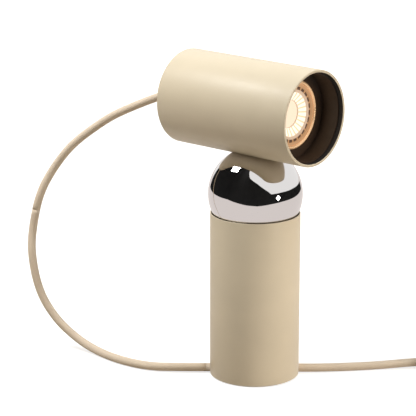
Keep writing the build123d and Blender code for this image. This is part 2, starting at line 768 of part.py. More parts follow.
# Two insulated wires from the lampholder's back to the terminal block.
wire_top_z = terminal_top_z + fit_clearance
wire_back_x = riser_back_x - 4 * wire_diameter
wire_routes = [
    [
        (holder_back_x + screw_length, 0, head_z + rise),
        (wire_back_x + 2 * wire_diameter, 0, head_z + rise),
        (wire_back_x, side, head_z - pin_circle),
        (wire_back_x - 0.1, side, wire_top_z),
    ]
    for rise, side in ((pin_circle, 6.0), (-pin_circle, -6.0))
]
wire_radius = wire_diameter / 2
upper_wire = round_run(wire_routes[0], wire_radius, "upper wire")
lower_wire = round_run(wire_routes[1], wire_radius, "lower wire")
with BuildPart() as lamp_wires:
    add(upper_wire.part)
    add(lower_wire.part)
lamp_wires.part.label = "lamp_wires"
export_step(lamp_wires.part, "parts/lamp_wires.step")

# ================================================================ BULB
# GU10 bulb: reflector body with an open front, and the thick base that the pins stand on.
taper_start_x = bulb_face_x - bulb_rim_depth
base_start_x = bulb_back_x + bulb_base_length
body_front_radius = bulb_radius - bulb_rim_width
with BuildPart() as bulb_body:
    with BuildSketch(Plane.XZ.shift_origin((0, 0, head_z))):
        with BuildLine():
            Line((bulb_back_x, 0), (bulb_back_x, bulb_base_diameter / 2))
            Line((bulb_back_x, bulb_base_diameter / 2), (base_start_x, bulb_base_diameter / 2))
            TangentArc(
                (base_start_x, bulb_base_diameter / 2),
                (taper_start_x, bulb_radius - bulb_side_gap),
                tangent=(1, 0.35),
            )
            Line((taper_start_x, bulb_radius - bulb_side_gap), (taper_start_x, body_front_radius))
            Line((taper_start_x, body_front_radius),
                 (bulb_face_x - lens_setback - lens_thickness, body_front_radius))
            Line((bulb_face_x - lens_setback - lens_thickness, body_front_radius),
                 (bulb_face_x - lens_setback - lens_thickness, body_front_radius - 1.0))
            Line((bulb_face_x - lens_setback - lens_thickness, body_front_radius - 1.0),
                 (bulb_face_x - reflector_depth, reflector_floor_radius))
            Line((bulb_face_x - reflector_depth, reflector_floor_radius), (bulb_face_x - reflector_depth, 0))
            Line((bulb_face_x - reflector_depth, 0), (bulb_back_x, 0))
        make_face()
    revolve(axis=Axis((0, 0, head_z), (1, 0, 0)))
bulb_body.part.label = "bulb_body"
export_step(bulb_body.part, "parts/bulb_body.step")

# Plated front ring of the bulb.
with BuildPart() as bulb_rim:
    with BuildSketch(head_station(taper_start_x)):
        Circle(bulb_radius)
        Circle(body_front_radius + fit_clearance, mode=Mode.SUBTRACT)
    extrude(amount=bulb_rim_depth)
    fillet(bulb_rim.edges().group_by(Axis.X)[-1], 0.6)
bulb_rim.part.label = "bulb_rim"
export_step(bulb_rim.part, "parts/bulb_rim.step")

# Moulded front lens: dished to its centre disc, with a step and a groove round the dish.
lens_front_x = bulb_face_x - lens_setback
lens_back_x = lens_front_x - lens_thickness
disc_front_x = lens_front_x - lens_dish_depth
groove_floor_x = lens_front_x - lens_groove_depth
groove_outer_radius = lens_groove_radius + lens_groove_width
with BuildPart() as bulb_lens:
    with BuildSketch(Plane.XZ.shift_origin((0, 0, head_z))):
        with BuildLine():
            Polyline(
                (disc_front_x, 0),
                (disc_front_x, lens_disc_radius),
                (groove_floor_x, lens_wedge_radius),
                (lens_front_x - lens_step_depth, lens_wedge_radius + 0.2),
                (lens_front_x - lens_step_depth, lens_groove_radius),
                (groove_floor_x, lens_groove_radius),
                (groove_floor_x, groove_outer_radius),
                (lens_front_x, groove_outer_radius + 0.6),
                (lens_front_x, body_front_radius),
                (lens_back_x, body_front_radius),
                (lens_back_x, groove_outer_radius),
                (groove_floor_x - lens_thickness, lens_wedge_radius),
                (disc_front_x - lens_web, lens_disc_radius),
                (disc_front_x - lens_web, 0),
                close=True,
            )
        make_face()
    revolve(axis=Axis((0, 0, head_z), (1, 0, 0)))
bulb_lens.part.label = "bulb_lens"
export_step(bulb_lens.part, "parts/bulb_lens.step")

# Light source on the floor of the reflector.
with BuildPart() as bulb_emitter:
    with BuildSketch(head_station(bulb_face_x - reflector_depth)):
        Circle(emitter_diameter / 2)
    extrude(amount=emitter_thickness)
bulb_emitter.part.label = "bulb_emitter"
export_step(bulb_emitter.part, "parts/bulb_emitter.step")

# Two studded pins.
with BuildPart() as bulb_pins:
    with BuildSketch(head_station(bulb_back_x)):
        with PolarLocations(pin_circle, 2, start_angle=pin_angle):
            Circle(pin_neck_diameter / 2)
    extrude(amount=-pin_neck_length)
    with BuildSketch(head_station(bulb_back_x - pin_neck_length)):
        with PolarLocations(pin_circle, 2, start_angle=pin_angle):
            Circle(pin_head_diameter / 2)
    extrude(amount=-pin_head_length)
    chamfer(bulb_pins.edges().group_by(Axis.X)[0], 0.4)
bulb_pins.part.label = "bulb_pins"
export_step(bulb_pins.part, "parts/bulb_pins.step")

# ================================================================ FLEX
# The loop from the cord grip down to the table and on to the slot in the base.
lay = cord_lay_height
loop_middle = (-173.5, -54.5, 107)
upper_route = [
    (grip_tip_x, 0, head_z),
    (grip_tip_x - exit_run, 0, head_z),
    (-96, -1, 197.5),
    (-121, -18, 184.5),
    (-137, -23, 173.5),
    (-152, -36, 158.5),
    (-165, -43, 139.5),
    (-171, -53, 120),
    loop_middle,
]
lower_route = [
    loop_middle,
    (-176.5, -56.3, 91.4),
    (-173, -61.5, 72),
    (-167, -60, 43),
    (-154, -55, 22),
    (-137, -50, 9),
    (-118, -49, lay),
    (-90, -53, lay),
    (-62.5, -49, lay),
    (-57 * lead_x, -57 * lead_y, slot_cord_z),
    (-cord_stub * lead_x, -cord_stub * lead_y, slot_cord_z),
]
cord_loop_upper = round_run(upper_route, cord_radius, "cord_loop_upper")
cord_loop_upper.part.label = "cord_loop_upper"
export_step(cord_loop_upper.part, "parts/cord_loop_upper.step")

cord_loop_lower = round_run(lower_route, cord_radius, "cord_loop_lower")
cord_loop_lower.part.label = "cord_loop_lower"
export_step(cord_loop_lower.part, "parts/cord_loop_lower.step")

# The straight stretch in the slot under the base.
with BuildPart() as cord_in_base:
    with BuildSketch(Plane(origin=(0, 0, slot_cord_z), z_dir=(lead_x, lead_y, 0))):
        Circle(cord_radius)
    extrude(amount=cord_stub, both=True)
cord_in_base.part.label = "cord_in_base"
export_step(cord_in_base.part, "parts/cord_in_base.step")

# From the base to the switch.
switch_x = cos(radians(switch_angle))
switch_y = sin(radians(switch_angle))
lead_route = [
    (cord_stub * lead_x, cord_stub * lead_y, slot_cord_z),
    (46 * lead_x, 46 * lead_y, slot_cord_z),
    (48.5, 45.2, lay),
    (66.5, 65.6, lay),
    (switch_start[0] - 8 * switch_x, switch_start[1] - 8 * switch_y, switch_cord_height),
    (
        switch_start[0] + switch_port_depth * switch_x,
        switch_start[1] + switch_port_depth * switch_y,
        switch_cord_height,
    ),
]
cord_lead = round_run(lead_route, cord_radius, "cord_lead")
cord_lead.part.label = "cord_lead"
export_step(cord_lead.part, "parts/cord_lead.step")

# From the switch to the coil.
switch_end = (
    switch_start[0] + switch_length * switch_x,
    switch_start[1] + switch_length * switch_y,
)
coil_plane = Plane(
    origin=(coil_centre[0], coil_centre[1], 0),
    x_dir=(cos(radians(coil_angle)), sin(radians(coil_angle)), 0),
    z_dir=(0, 0, 1),
)
coil_layer_z = coil_base + cord_radius
coil_start = coil_plane.from_local_coords(Vector(-coil_entry, coil_outer_turn, coil_layer_z))
coil_lead_in = coil_plane.from_local_coords(Vector(-coil_entry - 12, coil_outer_turn, coil_layer_z))
to_coil_route = [
    (
        switch_end[0] - switch_port_depth * switch_x,
        switch_end[1] - switch_port_depth * switch_y,
        switch_cord_height,
    ),
    (switch_end[0] + 8 * switch_x, switch_end[1] + 8 * switch_y, switch_cord_height),
    tuple(coil_lead_in),
    tuple(coil_start),
]
cord_to_coil = round_run(to_coil_route, cord_radius, "cord_to_coil")
cord_to_coil.part.label = "cord_to_coil"
export_step(cord_to_coil.part, "parts/cord_to_coil.step")

# The coil's outer shape: two layers of turns, and the straight ends that lead on and off it.
coil_inner_turn = coil_outer_turn - (coil_turns_wide - 1) * cord_diameter
coil_top_inner_turn = coil_top_turn - (coil_turns_wide - 2) * cord_diameter
coil_top_layer_z = coil_layer_z + coil_layer_rise
coil_skin_radius = cord_radius + coil_slack
coil_corner = coil_skin_radius - 0.4
with BuildPart() as cord_coil:
    with BuildSketch(Plane(origin=coil_plane.origin, x_dir=coil_plane.x_dir, z_dir=-coil_plane.y_dir)):
        with Locations(((coil_outer_turn + coil_inner_turn) / 2, coil_layer_z)):
            RectangleRounded(
                coil_outer_turn - coil_inner_turn + 2 * coil_skin_radius, 2 * coil_skin_radius, coil_corner
            )
        with Locations(((coil_top_turn + coil_top_inner_turn) / 2, coil_top_layer_z)):
            RectangleRounded(
                coil_top_turn - coil_top_inner_turn + 2 * coil_skin_radius, 2 * coil_skin_radius, coil_corner
            )
    revolve(axis=Axis(coil_plane.origin, (0, 0, 1)))
    with BuildSketch(Plane(origin=coil_start, z_dir=coil_plane.x_dir)):
        Circle(cord_radius)
    extrude(amount=coil_entry - 2)
    coil_end = coil_plane.from_local_coords(Vector(-coil_exit, -coil_top_turn, coil_top_layer_z))
    with BuildSketch(Plane(origin=coil_end, z_dir=coil_plane.x_dir)):
        Circle(cord_radius)
    extrude(amount=coil_exit - 2)
cord_coil.part.label = "cord_coil"
export_step(cord_coil.part, "parts/cord_coil.step")

# Hook-and-loop tie round the coil.
tie_plane = Plane(
    origin=(coil_centre[0], coil_centre[1], 0),
    x_dir=coil_plane.x_dir,
    z_dir=-coil_plane.y_dir,
)
coil_top_z = coil_top_layer_z + coil_skin_radius
tie_low_z = coil_base - coil_slack - tie_thickness - fit_clearance
tie_high_z = coil_top_z + tie_gap + tie_thickness
tie_inner_x = coil_inner_turn - coil_skin_radius - tie_gap
tie_outer_x = coil_outer_turn + coil_skin_radius + tie_gap
with BuildPart() as coil_tie:
    with BuildSketch(tie_plane):
        with Locations(((tie_inner_x + tie_outer_x) / 2, (tie_low_z + tie_high_z) / 2)):
            RectangleRounded(
                tie_outer_x - tie_inner_x + 2 * tie_thickness, tie_high_z - tie_low_z, tie_corner
            )
            RectangleRounded(
                tie_outer_x - tie_inner_x,
                tie_high_z - tie_low_z - 2 * tie_thickness,
                tie_corner - tie_thickness,
                mode=Mode.SUBTRACT,
            )
    extrude(amount=tie_width / 2, both=True)
coil_tie.part.label = "coil_tie"
export_step(coil_tie.part, "parts/coil_tie.step")

# From the coil to the plug.
plug_axis_z = plug_thickness / 2
tail_local = [
    (-coil_exit, -coil_top_turn, coil_top_layer_z),
    (-coil_exit - tail_end_run, -coil_top_turn, coil_top_layer_z),
    (-coil_exit - tail_length + tail_end_run, -coil_top_turn, plug_axis_z),
    (-coil_exit - tail_length, -coil_top_turn, plug_axis_z),
]
tail_points = [coil_plane.from_local_coords(Vector(*point)) for point in tail_local]
cord_tail = round_run([(point.X, point.Y, point.Z) for point in tail_points], cord_radius, "cord_tail")
cord_tail.part.label = "cord_tail"
export_step(cord_tail.part, "parts/cord_tail.step")

# ================================================================ PLUG
relief_start_x = -coil_exit - tail_length
plug_back_x = relief_start_x - plug_relief_length
plug_front_x = plug_back_x - plug_length
plug_flat = Plane(
    origin=coil_plane.from_local_coords(Vector(0, -coil_top_turn, plug_axis_z)),
    x_dir=coil_plane.x_dir,
    z_dir=(0, 0, 1),
)


def plug_station(x):
    """Plane across the plug at x of its own axis, facing the pins' way."""
    return Plane(
        origin=plug_flat.from_local_coords(Vector(x, 0, 0)), x_dir=(0, 0, 1), z_dir=-plug_flat.x_dir
    )


# Ribbed strain relief of the plug.
with BuildPart() as plug_relief:
    with BuildSketch(plug_station(relief_start_x)):
        Circle(plug_relief_tip / 2)
    with BuildSketch(plug_station(plug_back_x)):
        Circle(plug_relief_root / 2)
    loft()
    for step in range(4):
        groove_x = relief_start_x - (step + 1) * plug_relief_length / 5
        with BuildSketch(plug_station(groove_x)):
            Circle(plug_relief_root)
            Circle(plug_relief_tip / 2 - 0.4, mode=Mode.SUBTRACT)
        extrude(amount=1.2, mode=Mode.SUBTRACT)
plug_relief.part.label = "plug_relief"
export_step(plug_relief.part, "parts/plug_relief.step")

# Flat two-pin plug body, waisted for the fingers.
half_plug = plug_width / 2
with BuildPart() as plug_body:
    with BuildSketch(plug_flat.offset(-plug_thickness / 2)):
        with BuildLine():
            Polyline(
                (plug_back_x, plug_relief_root / 2),
                (plug_back_x - 0.22 * plug_length, 0.62 * half_plug),
                (plug_back_x - 0.5 * plug_length, 0.78 * half_plug),
                (plug_back_x - 0.72 * plug_length, half_plug),
                (plug_front_x, half_plug),
                (plug_front_x, -half_plug),
                (plug_back_x - 0.72 * plug_length, -half_plug),
                (plug_back_x - 0.5 * plug_length, -0.78 * half_plug),
                (plug_back_x - 0.22 * plug_length, -0.62 * half_plug),
                (plug_back_x, -plug_relief_root / 2),
                close=True,
            )
        make_face()
    extrude(amount=plug_thickness)
    fillet(plug_body.edges().filter_by(Axis.Z), 1.5)
    fillet(plug_body.edges().group_by(Axis.Z)[-1], 2.0)
    fillet(plug_body.edges().group_by(Axis.Z)[0], 2.0)
    with BuildSketch(plug_station(plug_front_x + plug_sleeve_length / 2)):
        with Locations((0, plug_pin_spacing / 2), (0, -plug_pin_spacing / 2)):
            Circle(plug_shank_diameter / 2 + fit_clearance)
    extrude(amount=plug_sleeve_length, mode=Mode.SUBTRACT)
plug_body.part.label = "plug_body"
export_step(plug_body.part, "parts/plug_body.step")

# Insulating sleeves at the root of the pins, each with a thinner shank in the plug body.
with BuildPart() as pin_sleeves:
    with BuildSketch(plug_station(plug_front_x)):
        with Locations((0, plug_pin_spacing / 2), (0, -plug_pin_spacing / 2)):
            Circle(plug_pin_diameter / 2)
    extrude(amount=plug_sleeve_length)
    with BuildSketch(plug_station(plug_front_x + plug_sleeve_length / 2)):
        with Locations((0, plug_pin_spacing / 2), (0, -plug_pin_spacing / 2)):
            Circle(plug_shank_diameter / 2)
    extrude(amount=plug_sleeve_length / 2)
pin_sleeves.part.label = "pin_sleeves"
export_step(pin_sleeves.part, "parts/pin_sleeves.step")

# The pins' metal ends.
with BuildPart() as plug_pins:
    with BuildSketch(plug_station(plug_front_x - plug_sleeve_length)):
        with Locations((0, plug_pin_spacing / 2), (0, -plug_pin_spacing / 2)):
            Circle(plug_pin_diameter / 2)
    extrude(amount=plug_pin_length - plug_sleeve_length)
    pin_tips = plug_pins.edges().filter_by(GeomType.CIRCLE).filter_by(
        lambda edge: abs(plug_flat.to_local_coords(edge.center()).X - plug_front_x + plug_pin_length) < 0.01
    )
    fillet(pin_tips, 1.4)
plug_pins.part.label = "plug_pins"
export_step(plug_pins.part, "parts/plug_pins.step")

# ================================================================ SWITCH
switch_plane = Plane(
    origin=(
        switch_start[0] + switch_length / 2 * switch_x,
        switch_start[1] + switch_length / 2 * switch_y,
        0,
    ),
    x_dir=(switch_x, switch_y, 0),
    z_dir=(0, 0, 1),
)
switch_axis_plane = Plane(
    origin=switch_plane.origin + Vector(0, 0, switch_cord_height),
    x_dir=switch_plane.y_dir,
    z_dir=switch_plane.x_dir,
)
switch_corner = 8.0
cavity_length = switch_length - 2 * switch_port_depth - 2 * switch_wall
screw_places = [(-cavity_length / 2 + 4, 0), (cavity_length / 2 - 4, 0)]
rocker_axis_z = switch_height - rocker_axis_drop

# Lower half of the switch's shell, split at the flex.
with BuildPart() as switch_base:
    with BuildSketch(switch_plane):
        RectangleRounded(switch_length, switch_width, switch_corner)
    extrude(amount=switch_cord_height)
    fillet(switch_base.edges().group_by(Axis.Z)[0], 1.2)
    with BuildSketch(switch_plane.offset(switch_wall)):
        RectangleRounded(cavity_length, switch_width - 2 * switch_wall, switch_corner / 2)
    extrude(amount=switch_height, mode=Mode.SUBTRACT)
    with BuildSketch(switch_plane.offset(switch_wall)):
        with Locations(*screw_places):
            Circle(2.6)
    extrude(amount=switch_cord_height - switch_wall)
    with BuildSketch(switch_axis_plane):
        Circle(cord_bore_radius)
    extrude(amount=switch_length, both=True, mode=Mode.SUBTRACT)
    with BuildSketch(switch_plane):
        with Locations(*screw_places):
            Circle(1.2 + fit_clearance)
    extrude(amount=switch_cord_height, mode=Mode.SUBTRACT)
switch_base.part.label = "switch_base"
export_step(switch_base.part, "parts/switch_base.step")

# Upper half, with the rocker's window and its two bearing cheeks.
rocker_window_length = rocker_length + 2 * rocker_gap
rocker_window_width = rocker_width + 2 * rocker_gap
cheek_thickness = 2.0
cheek_depth = 6.0
cheek_y = rocker_window_width / 2 + cheek_thickness / 2
with BuildPart() as switch_cover:
    with BuildSketch(switch_plane.offset(switch_cord_height)):
        RectangleRounded(switch_length, switch_width, switch_corner)
    extrude(amount=switch_height - switch_cord_height)
    fillet(switch_cover.edges().group_by(Axis.Z)[-1], 4.0)
    with BuildSketch(switch_plane.offset(switch_cord_height)):
        RectangleRounded(cavity_length, switch_width - 2 * switch_wall, switch_corner / 2)
    extrude(amount=switch_height - switch_cord_height - 2 * switch_wall, mode=Mode.SUBTRACT)
    with BuildSketch(switch_plane.offset(rocker_axis_z - cheek_depth / 2)):
        with Locations((0, cheek_y), (0, -cheek_y)):
            Rectangle(8, cheek_thickness)
    extrude(amount=switch_height - switch_wall - rocker_axis_z + cheek_depth / 2)
    with BuildSketch(switch_plane.offset(switch_height)):
        RectangleRounded(rocker_window_length, rocker_window_width, 1.5)
    extrude(amount=-2.5 * switch_wall, mode=Mode.SUBTRACT)
    with BuildSketch(switch_plane.offset(switch_cord_height)):
        with Locations(*screw_places):
            Circle(2.6)
    extrude(amount=switch_height - switch_cord_height - 2 * switch_wall)
    with BuildSketch(switch_plane.offset(switch_cord_height)):
        with Locations(*screw_places):
            Circle(1.2 + fit_clearance)
    extrude(amount=6, mode=Mode.SUBTRACT)
    with BuildSketch(switch_axis_plane):
        Circle(cord_bore_radius)
    extrude(amount=switch_length, both=True, mode=Mode.SUBTRACT)
    with BuildSketch(Plane(origin=switch_plane.origin + Vector(0, 0, rocker_axis_z),
                           z_dir=switch_plane.y_dir)):
        Circle(rocker_pin_diameter / 2 + fit_clearance)
    extrude(amount=cheek_y + cheek_thickness, both=True, mode=Mode.SUBTRACT)
switch_cover.part.label = "switch_cover"
export_step(switch_cover.part, "parts/switch_cover.step")

# Rocker: one ramp of its top lies level and the other stands up by the travel.  Its ends are round about
# the two pins that it hangs on in the cheeks.
half_rocker = rocker_length / 2
rocker_side = Plane(
    origin=switch_plane.origin + Vector(0, 0, rocker_axis_z),
    x_dir=switch_plane.x_dir,
    z_dir=-switch_plane.y_dir,
)
with BuildPart() as switch_rocker:
    with BuildSketch(rocker_side):
        with BuildLine():
            Polyline(
                (-half_rocker, rocker_top),
                (0, rocker_top),
                (half_rocker, rocker_top + half_rocker * tan(radians(rocker_travel))),
                (half_rocker, -rocker_heel / 2),
                (rocker_heel, -rocker_heel),
                (-rocker_heel, -rocker_heel),
                (-half_rocker, -rocker_heel / 2),
                close=True,
            )
        make_face()
        Circle(half_rocker, mode=Mode.INTERSECT)
    extrude(amount=rocker_width / 2, both=True)
    with BuildSketch(rocker_side):
        Circle(rocker_pin_diameter / 2)
    extrude(amount=rocker_width / 2 + rocker_gap + cheek_thickness, both=True)
switch_rocker.part.label = "switch_rocker"
export_step(switch_rocker.part, "parts/switch_rocker.step")

# Two screws that close the shell from below.
with BuildPart() as switch_screws:
    with BuildSketch(switch_plane.offset(0.4)):
        with Locations(*screw_places):
            Circle(1.2)
    extrude(amount=switch_cord_height + 5)
switch_screws.part.label = "switch_screws"
export_step(switch_screws.part, "parts/switch_screws.step")

# Fixed and moving contact, standing on the floor of the shell.
with BuildPart() as switch_contacts:
    with BuildSketch(switch_plane.offset(switch_wall)):
        with Locations((-7, 0), (7, 0)):
            Rectangle(1.2, 6)
    extrude(amount=rocker_axis_z - 6.0 - switch_wall)
switch_contacts.part.label = "switch_contacts"
export_step(switch_contacts.part, "parts/switch_contacts.step")
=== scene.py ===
"""Tabletop searchlight lamp, dressed for its portrait and laid out as a Blender add-on.

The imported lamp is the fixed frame.  Each operator makes one piece, or one group of like pieces, and gives it
its finish.  All lengths are metres, in the lamp's own frame: origin at the centre of the foot on the table,
+X the way the head shines, +Z up.
"""

from math import atan2, cos, hypot, pi, radians, sin

import bmesh
import bpy
from bpy.props import FloatProperty, FloatVectorProperty, IntProperty, PointerProperty
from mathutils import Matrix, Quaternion, Vector


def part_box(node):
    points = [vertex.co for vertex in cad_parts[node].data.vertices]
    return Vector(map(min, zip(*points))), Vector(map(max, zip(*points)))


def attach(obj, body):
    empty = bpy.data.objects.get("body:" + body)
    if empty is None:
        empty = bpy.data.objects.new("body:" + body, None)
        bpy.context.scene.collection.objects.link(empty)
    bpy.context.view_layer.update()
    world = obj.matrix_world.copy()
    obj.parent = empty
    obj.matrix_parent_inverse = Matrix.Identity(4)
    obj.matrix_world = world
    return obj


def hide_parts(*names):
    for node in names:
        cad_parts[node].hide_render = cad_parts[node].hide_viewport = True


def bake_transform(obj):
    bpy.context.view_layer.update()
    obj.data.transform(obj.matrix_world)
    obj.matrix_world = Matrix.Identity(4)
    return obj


bl_info = {
    "name": "Searchlight Lamp",
    "version": (1, 0, 0),
    "blender": (4, 5, 0),
    "location": "View3D > Sidebar > Lamp",
    "description": "Dresses the packed tabletop searchlight lamp: paint, ball, bulb, flex, switch and plug",
    "category": "Object",
}

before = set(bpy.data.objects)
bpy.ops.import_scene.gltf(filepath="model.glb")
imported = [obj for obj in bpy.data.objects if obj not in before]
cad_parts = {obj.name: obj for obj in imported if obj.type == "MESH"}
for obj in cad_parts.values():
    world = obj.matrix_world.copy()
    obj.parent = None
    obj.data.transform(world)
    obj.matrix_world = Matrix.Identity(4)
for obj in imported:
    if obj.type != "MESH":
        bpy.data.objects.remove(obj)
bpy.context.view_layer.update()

MM = 0.001
TINY = 1e-5

# ---------------------------------------------------------------- places taken from the frame
ball_low, ball_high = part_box("ball_shell")
ball_centre = (ball_low + ball_high) / 2
ball_radius = (ball_high.z - ball_low.z) / 2
head_low, head_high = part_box("head_tube")
head_radius = (head_high.y - head_low.y) / 2
head_z = head_high.z - head_radius
base_low, base_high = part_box("base_tube")
base_radius = (base_high.y - base_low.y) / 2
felt_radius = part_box("foot_felt")[1].x
bulb_face_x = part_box("bulb_rim")[1].x
grip_end_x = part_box("cord_grip")[0].x
cap_face_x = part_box("rear_cap")[0].x

# ---------------------------------------------------------------- how pieces are turned and cut
HEADWAYS = (0, radians(90), 0)       # turns a piece made about +Z to lie about +X
BELLY_TURN = (radians(90), 0, 0.013)       # lays the belly's cutter with its poles off the tube's seams
CUT_TRIES = 5

# The nodes of the plug and the switch, which sit on the mains lead
ON_THE_LEAD = (
    "plug_relief", "plug_body", "pin_sleeves", "plug_pins", "switch_base", "switch_cover", "switch_rocker",
    "switch_screws", "switch_contacts",
)

# ---------------------------------------------------------------- studio, in degrees, metres and watts
CAMERA_PLACE = (0.9075, -1.1052, 0.5299)
CAMERA_TURN = (radians(74.30), 0, radians(40.78))
CAMERA_LENS = 175.2                  # millimetres, before a sensor 36 mm wide
WHITE = (1, 1, 1, 1)
WORLD_LIGHT = 0.08
WORLD_TONE = (1, 0.90, 0.76, 1)
FLOOR_PALE = (0.49, 0.445, 0.38, 1)
FLOOR_SHINE = 0.76                   # what the floor adds to its light near the lamp, rising to white
FLOOR_NEAR = 0.3
FLOOR_FAR = 1.2
MIRRORED_FLOOR = (0.86, 0.80, 0.78, 1)
CARD_BLACK = (0.010, 0.010, 0.010, 1)
# Outline of each dark card, seen from the ball: azimuth, lowest elevation, highest elevation
CARDS = {
    "front_card": [
        (-105, -8, 86), (-80, -8, 86), (-30, -7, 86), (5, -12, 86), (8, -12.5, 66), (20, -14, 50),
        (45, -15.5, 37), (70, -13, 17.5), (78, -12, 10),
    ],
    "low_card": [(78, -12, 10), (107, -10, 8.5), (145, -9.5, 4), (185, -9, -3)],
}
DAY = (0.88, 0.94, 1)
SKY = (0.81, 0.90, 1)
# name, azimuth and elevation from the ball, distance, width, height, roll, power, tone, seen in mirrors
LIGHTS = (
    ("glint_left", -52.4, 51, 0.80, 0.23, 0.145, 40.6, 2.0, (1, 1, 1), True),
    ("glint_right", 94.7, -0.8, 0.70, 0.10, 0.10, 45, 0.2, (1, 1, 1), True),
    ("softbox_left", -52.4, 51, 1.4, 0.50, 0.30, 40.6, 7.9, DAY, False),
    ("softbox_top", 40, 80, 1.6, 1.2, 1.2, 0, 21.5, SKY, False),
    ("softbox_right", 108, 10, 1.6, 0.8, 0.4, 0, 15.8, (1, 1, 1), False),
    ("softbox_back", 165, 40, 1.6, 1.1, 0.8, 0, 2.4, DAY, False),
)

# ---------------------------------------------------------------- the flex's route, in millimetres
lead_angle = radians(40)
lead_x = cos(lead_angle)
lead_y = sin(lead_angle)
switch_angle = radians(48)
switch_x = cos(switch_angle)
switch_y = sin(switch_angle)
cord_width = 6.2
lay = 3.2                            # height of the flex's axis where it lies on the table
slot_cord_z = 3.9
switch_cord_z = 4.6
cord_stub = 36.0
switch_start = (88.5, 89.5)
switch_span = 58.0
switch_end = (switch_start[0] + switch_span * switch_x, switch_start[1] + switch_span * switch_y)
coil_centre = (198.0, 141.5)
coil_outer = 40.6
coil_inner = coil_outer - 2 * cord_width
coil_top_inner = coil_inner + cord_width / 2
coil_top_outer = coil_top_inner + cord_width
coil_turns = 4.5
coil_step = 22.5                     # degrees from one control point to the next
coil_layer_z = 4.0
coil_top_z = 9.4
plug_axis_z = 7.0
loop_middle = (-173.5, -54.5, 107)
upper_route = [
    (-64.5, 0, head_z / MM),
    (-79, 0, head_z / MM),
    (-96, -1, 197.5),
    (-121, -18, 184.5),
    (-137, -23, 173.5),
    (-152, -36, 158.5),
    (-165, -43, 139.5),
    (-171, -53, 120),
    loop_middle,
]
lower_route = [
    loop_middle,
    (-176.5, -56.3, 91.4),
    (-173, -61.5, 72),
    (-167, -60, 43),
    (-154, -55, 22),
    (-137, -50, 9),
    (-118, -49, lay),
    (-90, -53, lay),
    (-62.5, -49, lay),
    (-57 * lead_x, -57 * lead_y, slot_cord_z),
    (-cord_stub * lead_x, -cord_stub * lead_y, slot_cord_z),
]


def beside_coil(x, y, z):
    """A point given from the coil's centre, along and across the way the cord runs on to it."""
    return (coil_centre[0] + x * lead_x - y * lead_y, coil_centre[1] + x * lead_y + y * lead_x, z)


def coil_point(travelled):
    """Control point of the coil after so many degrees: flat turns from the outside in, then turns on top.

    The last quarter of each turn leads to the next one, and that of the third climbs over the turn below.
    """
    turn, rest = divmod(travelled, 360)
    shift = max(0.0, (rest - 270) / 90)
    if turn < 2:
        radius, height = coil_outer - cord_width * (turn + shift), coil_layer_z
    elif turn < 3:
        climb = radians(120) * shift
        radius = coil_inner + cord_width * (1 - shift - cos(climb)) if shift else coil_inner
        height = coil_layer_z + cord_width * sin(climb)
    elif turn < 4:
        radius, height = coil_top_inner + cord_width * shift, coil_top_z + 0.9 * sin(pi * shift)
    else:
        radius, height = coil_top_outer, coil_top_z
    angle = radians(90 - travelled)
    reach = radius / cos(radians(coil_step / 2))
    return beside_coil(reach * cos(angle), reach * sin(angle), height)


mains_route = [
    (-cord_stub * lead_x, -cord_stub * lead_y, slot_cord_z),
    (cord_stub * lead_x, cord_stub * lead_y, slot_cord_z),
    (46 * lead_x, 46 * lead_y, slot_cord_z),
    (48.5, 45.2, lay),
    (66.5, 65.6, lay),
    (switch_start[0] - 8 * switch_x, switch_start[1] - 8 * switch_y, switch_cord_z),
    (switch_start[0] + 6 * switch_x, switch_start[1] + 6 * switch_y, switch_cord_z),
    (switch_end[0] - 6 * switch_x, switch_end[1] - 6 * switch_y, switch_cord_z),
    (switch_end[0] + 8 * switch_x, switch_end[1] + 8 * switch_y, switch_cord_z),
    beside_coil(-36, coil_outer, coil_layer_z),
    beside_coil(-24, coil_outer, coil_layer_z),
    *(coil_point(coil_step * (step + 0.5)) for step in range(round(coil_turns * 360 / coil_step))),
    beside_coil(-25, -coil_top_outer, coil_top_z),
    beside_coil(-31.5, -coil_top_outer, coil_top_z),
    beside_coil(-39.5, -coil_top_outer, plug_axis_z),
    beside_coil(-46, -coil_top_outer, plug_axis_z),
]


# ---------------------------------------------------------------- what a user may change
def length(name, description, default):
    """A length in metres, shown in the scene's units."""
    return FloatProperty(
        name=name, description=description, default=default, min=0, unit="LENGTH", precision=5
    )


def count(name, description, default, least):
    """A whole number with its least value."""
    return IntProperty(name=name, description=description, default=default, min=least)


def colour(name, description, *default):
    """A colour with its alpha."""
    return FloatVectorProperty(
        name=name, description=description, default=(*default, 1), size=4, min=0, max=1, subtype="COLOR"
    )


class LampSizes(bpy.types.PropertyGroup):
    """Sizes of the dressed lamp."""

    tube_facets: count("Tube facets", "Facets round each painted tube", 224, 48)
    head_wall: length("Head wall", "Wall of the head tube", 2.0 * MM)
    base_wall: length("Base wall", "Wall of the base tube", 1.0 * MM)
    rim_round: length("Rim rounding", "Rounding of the painted rims", 0.6 * MM)
    belly_gap: length("Belly gap", "Room between the ball and the cut in the head", 0.8 * MM)
    ball_wall: length("Ball wall", "Wall of the polished ball", 2.0 * MM)
    cord_diameter: length("Flex diameter", "Diameter over the braid", cord_width * MM)
    braid_pitch: length("Braid pitch", "Length in which one yarn goes once round the flex", 14.0 * MM)
    braid_yarns: count("Braid yarns", "Yarns each way round the flex", 12, 4)
    lens_wedges: count("Lens wedges", "Bright wedges round the bulb's centre", 24, 8)
    grip_ribs: count("Grip ribs", "Ribs on the cord grip", 4, 1)
    bulb_glow: FloatProperty(name="Bulb glow", description="Strength of the lit lens", default=1.0, min=0)


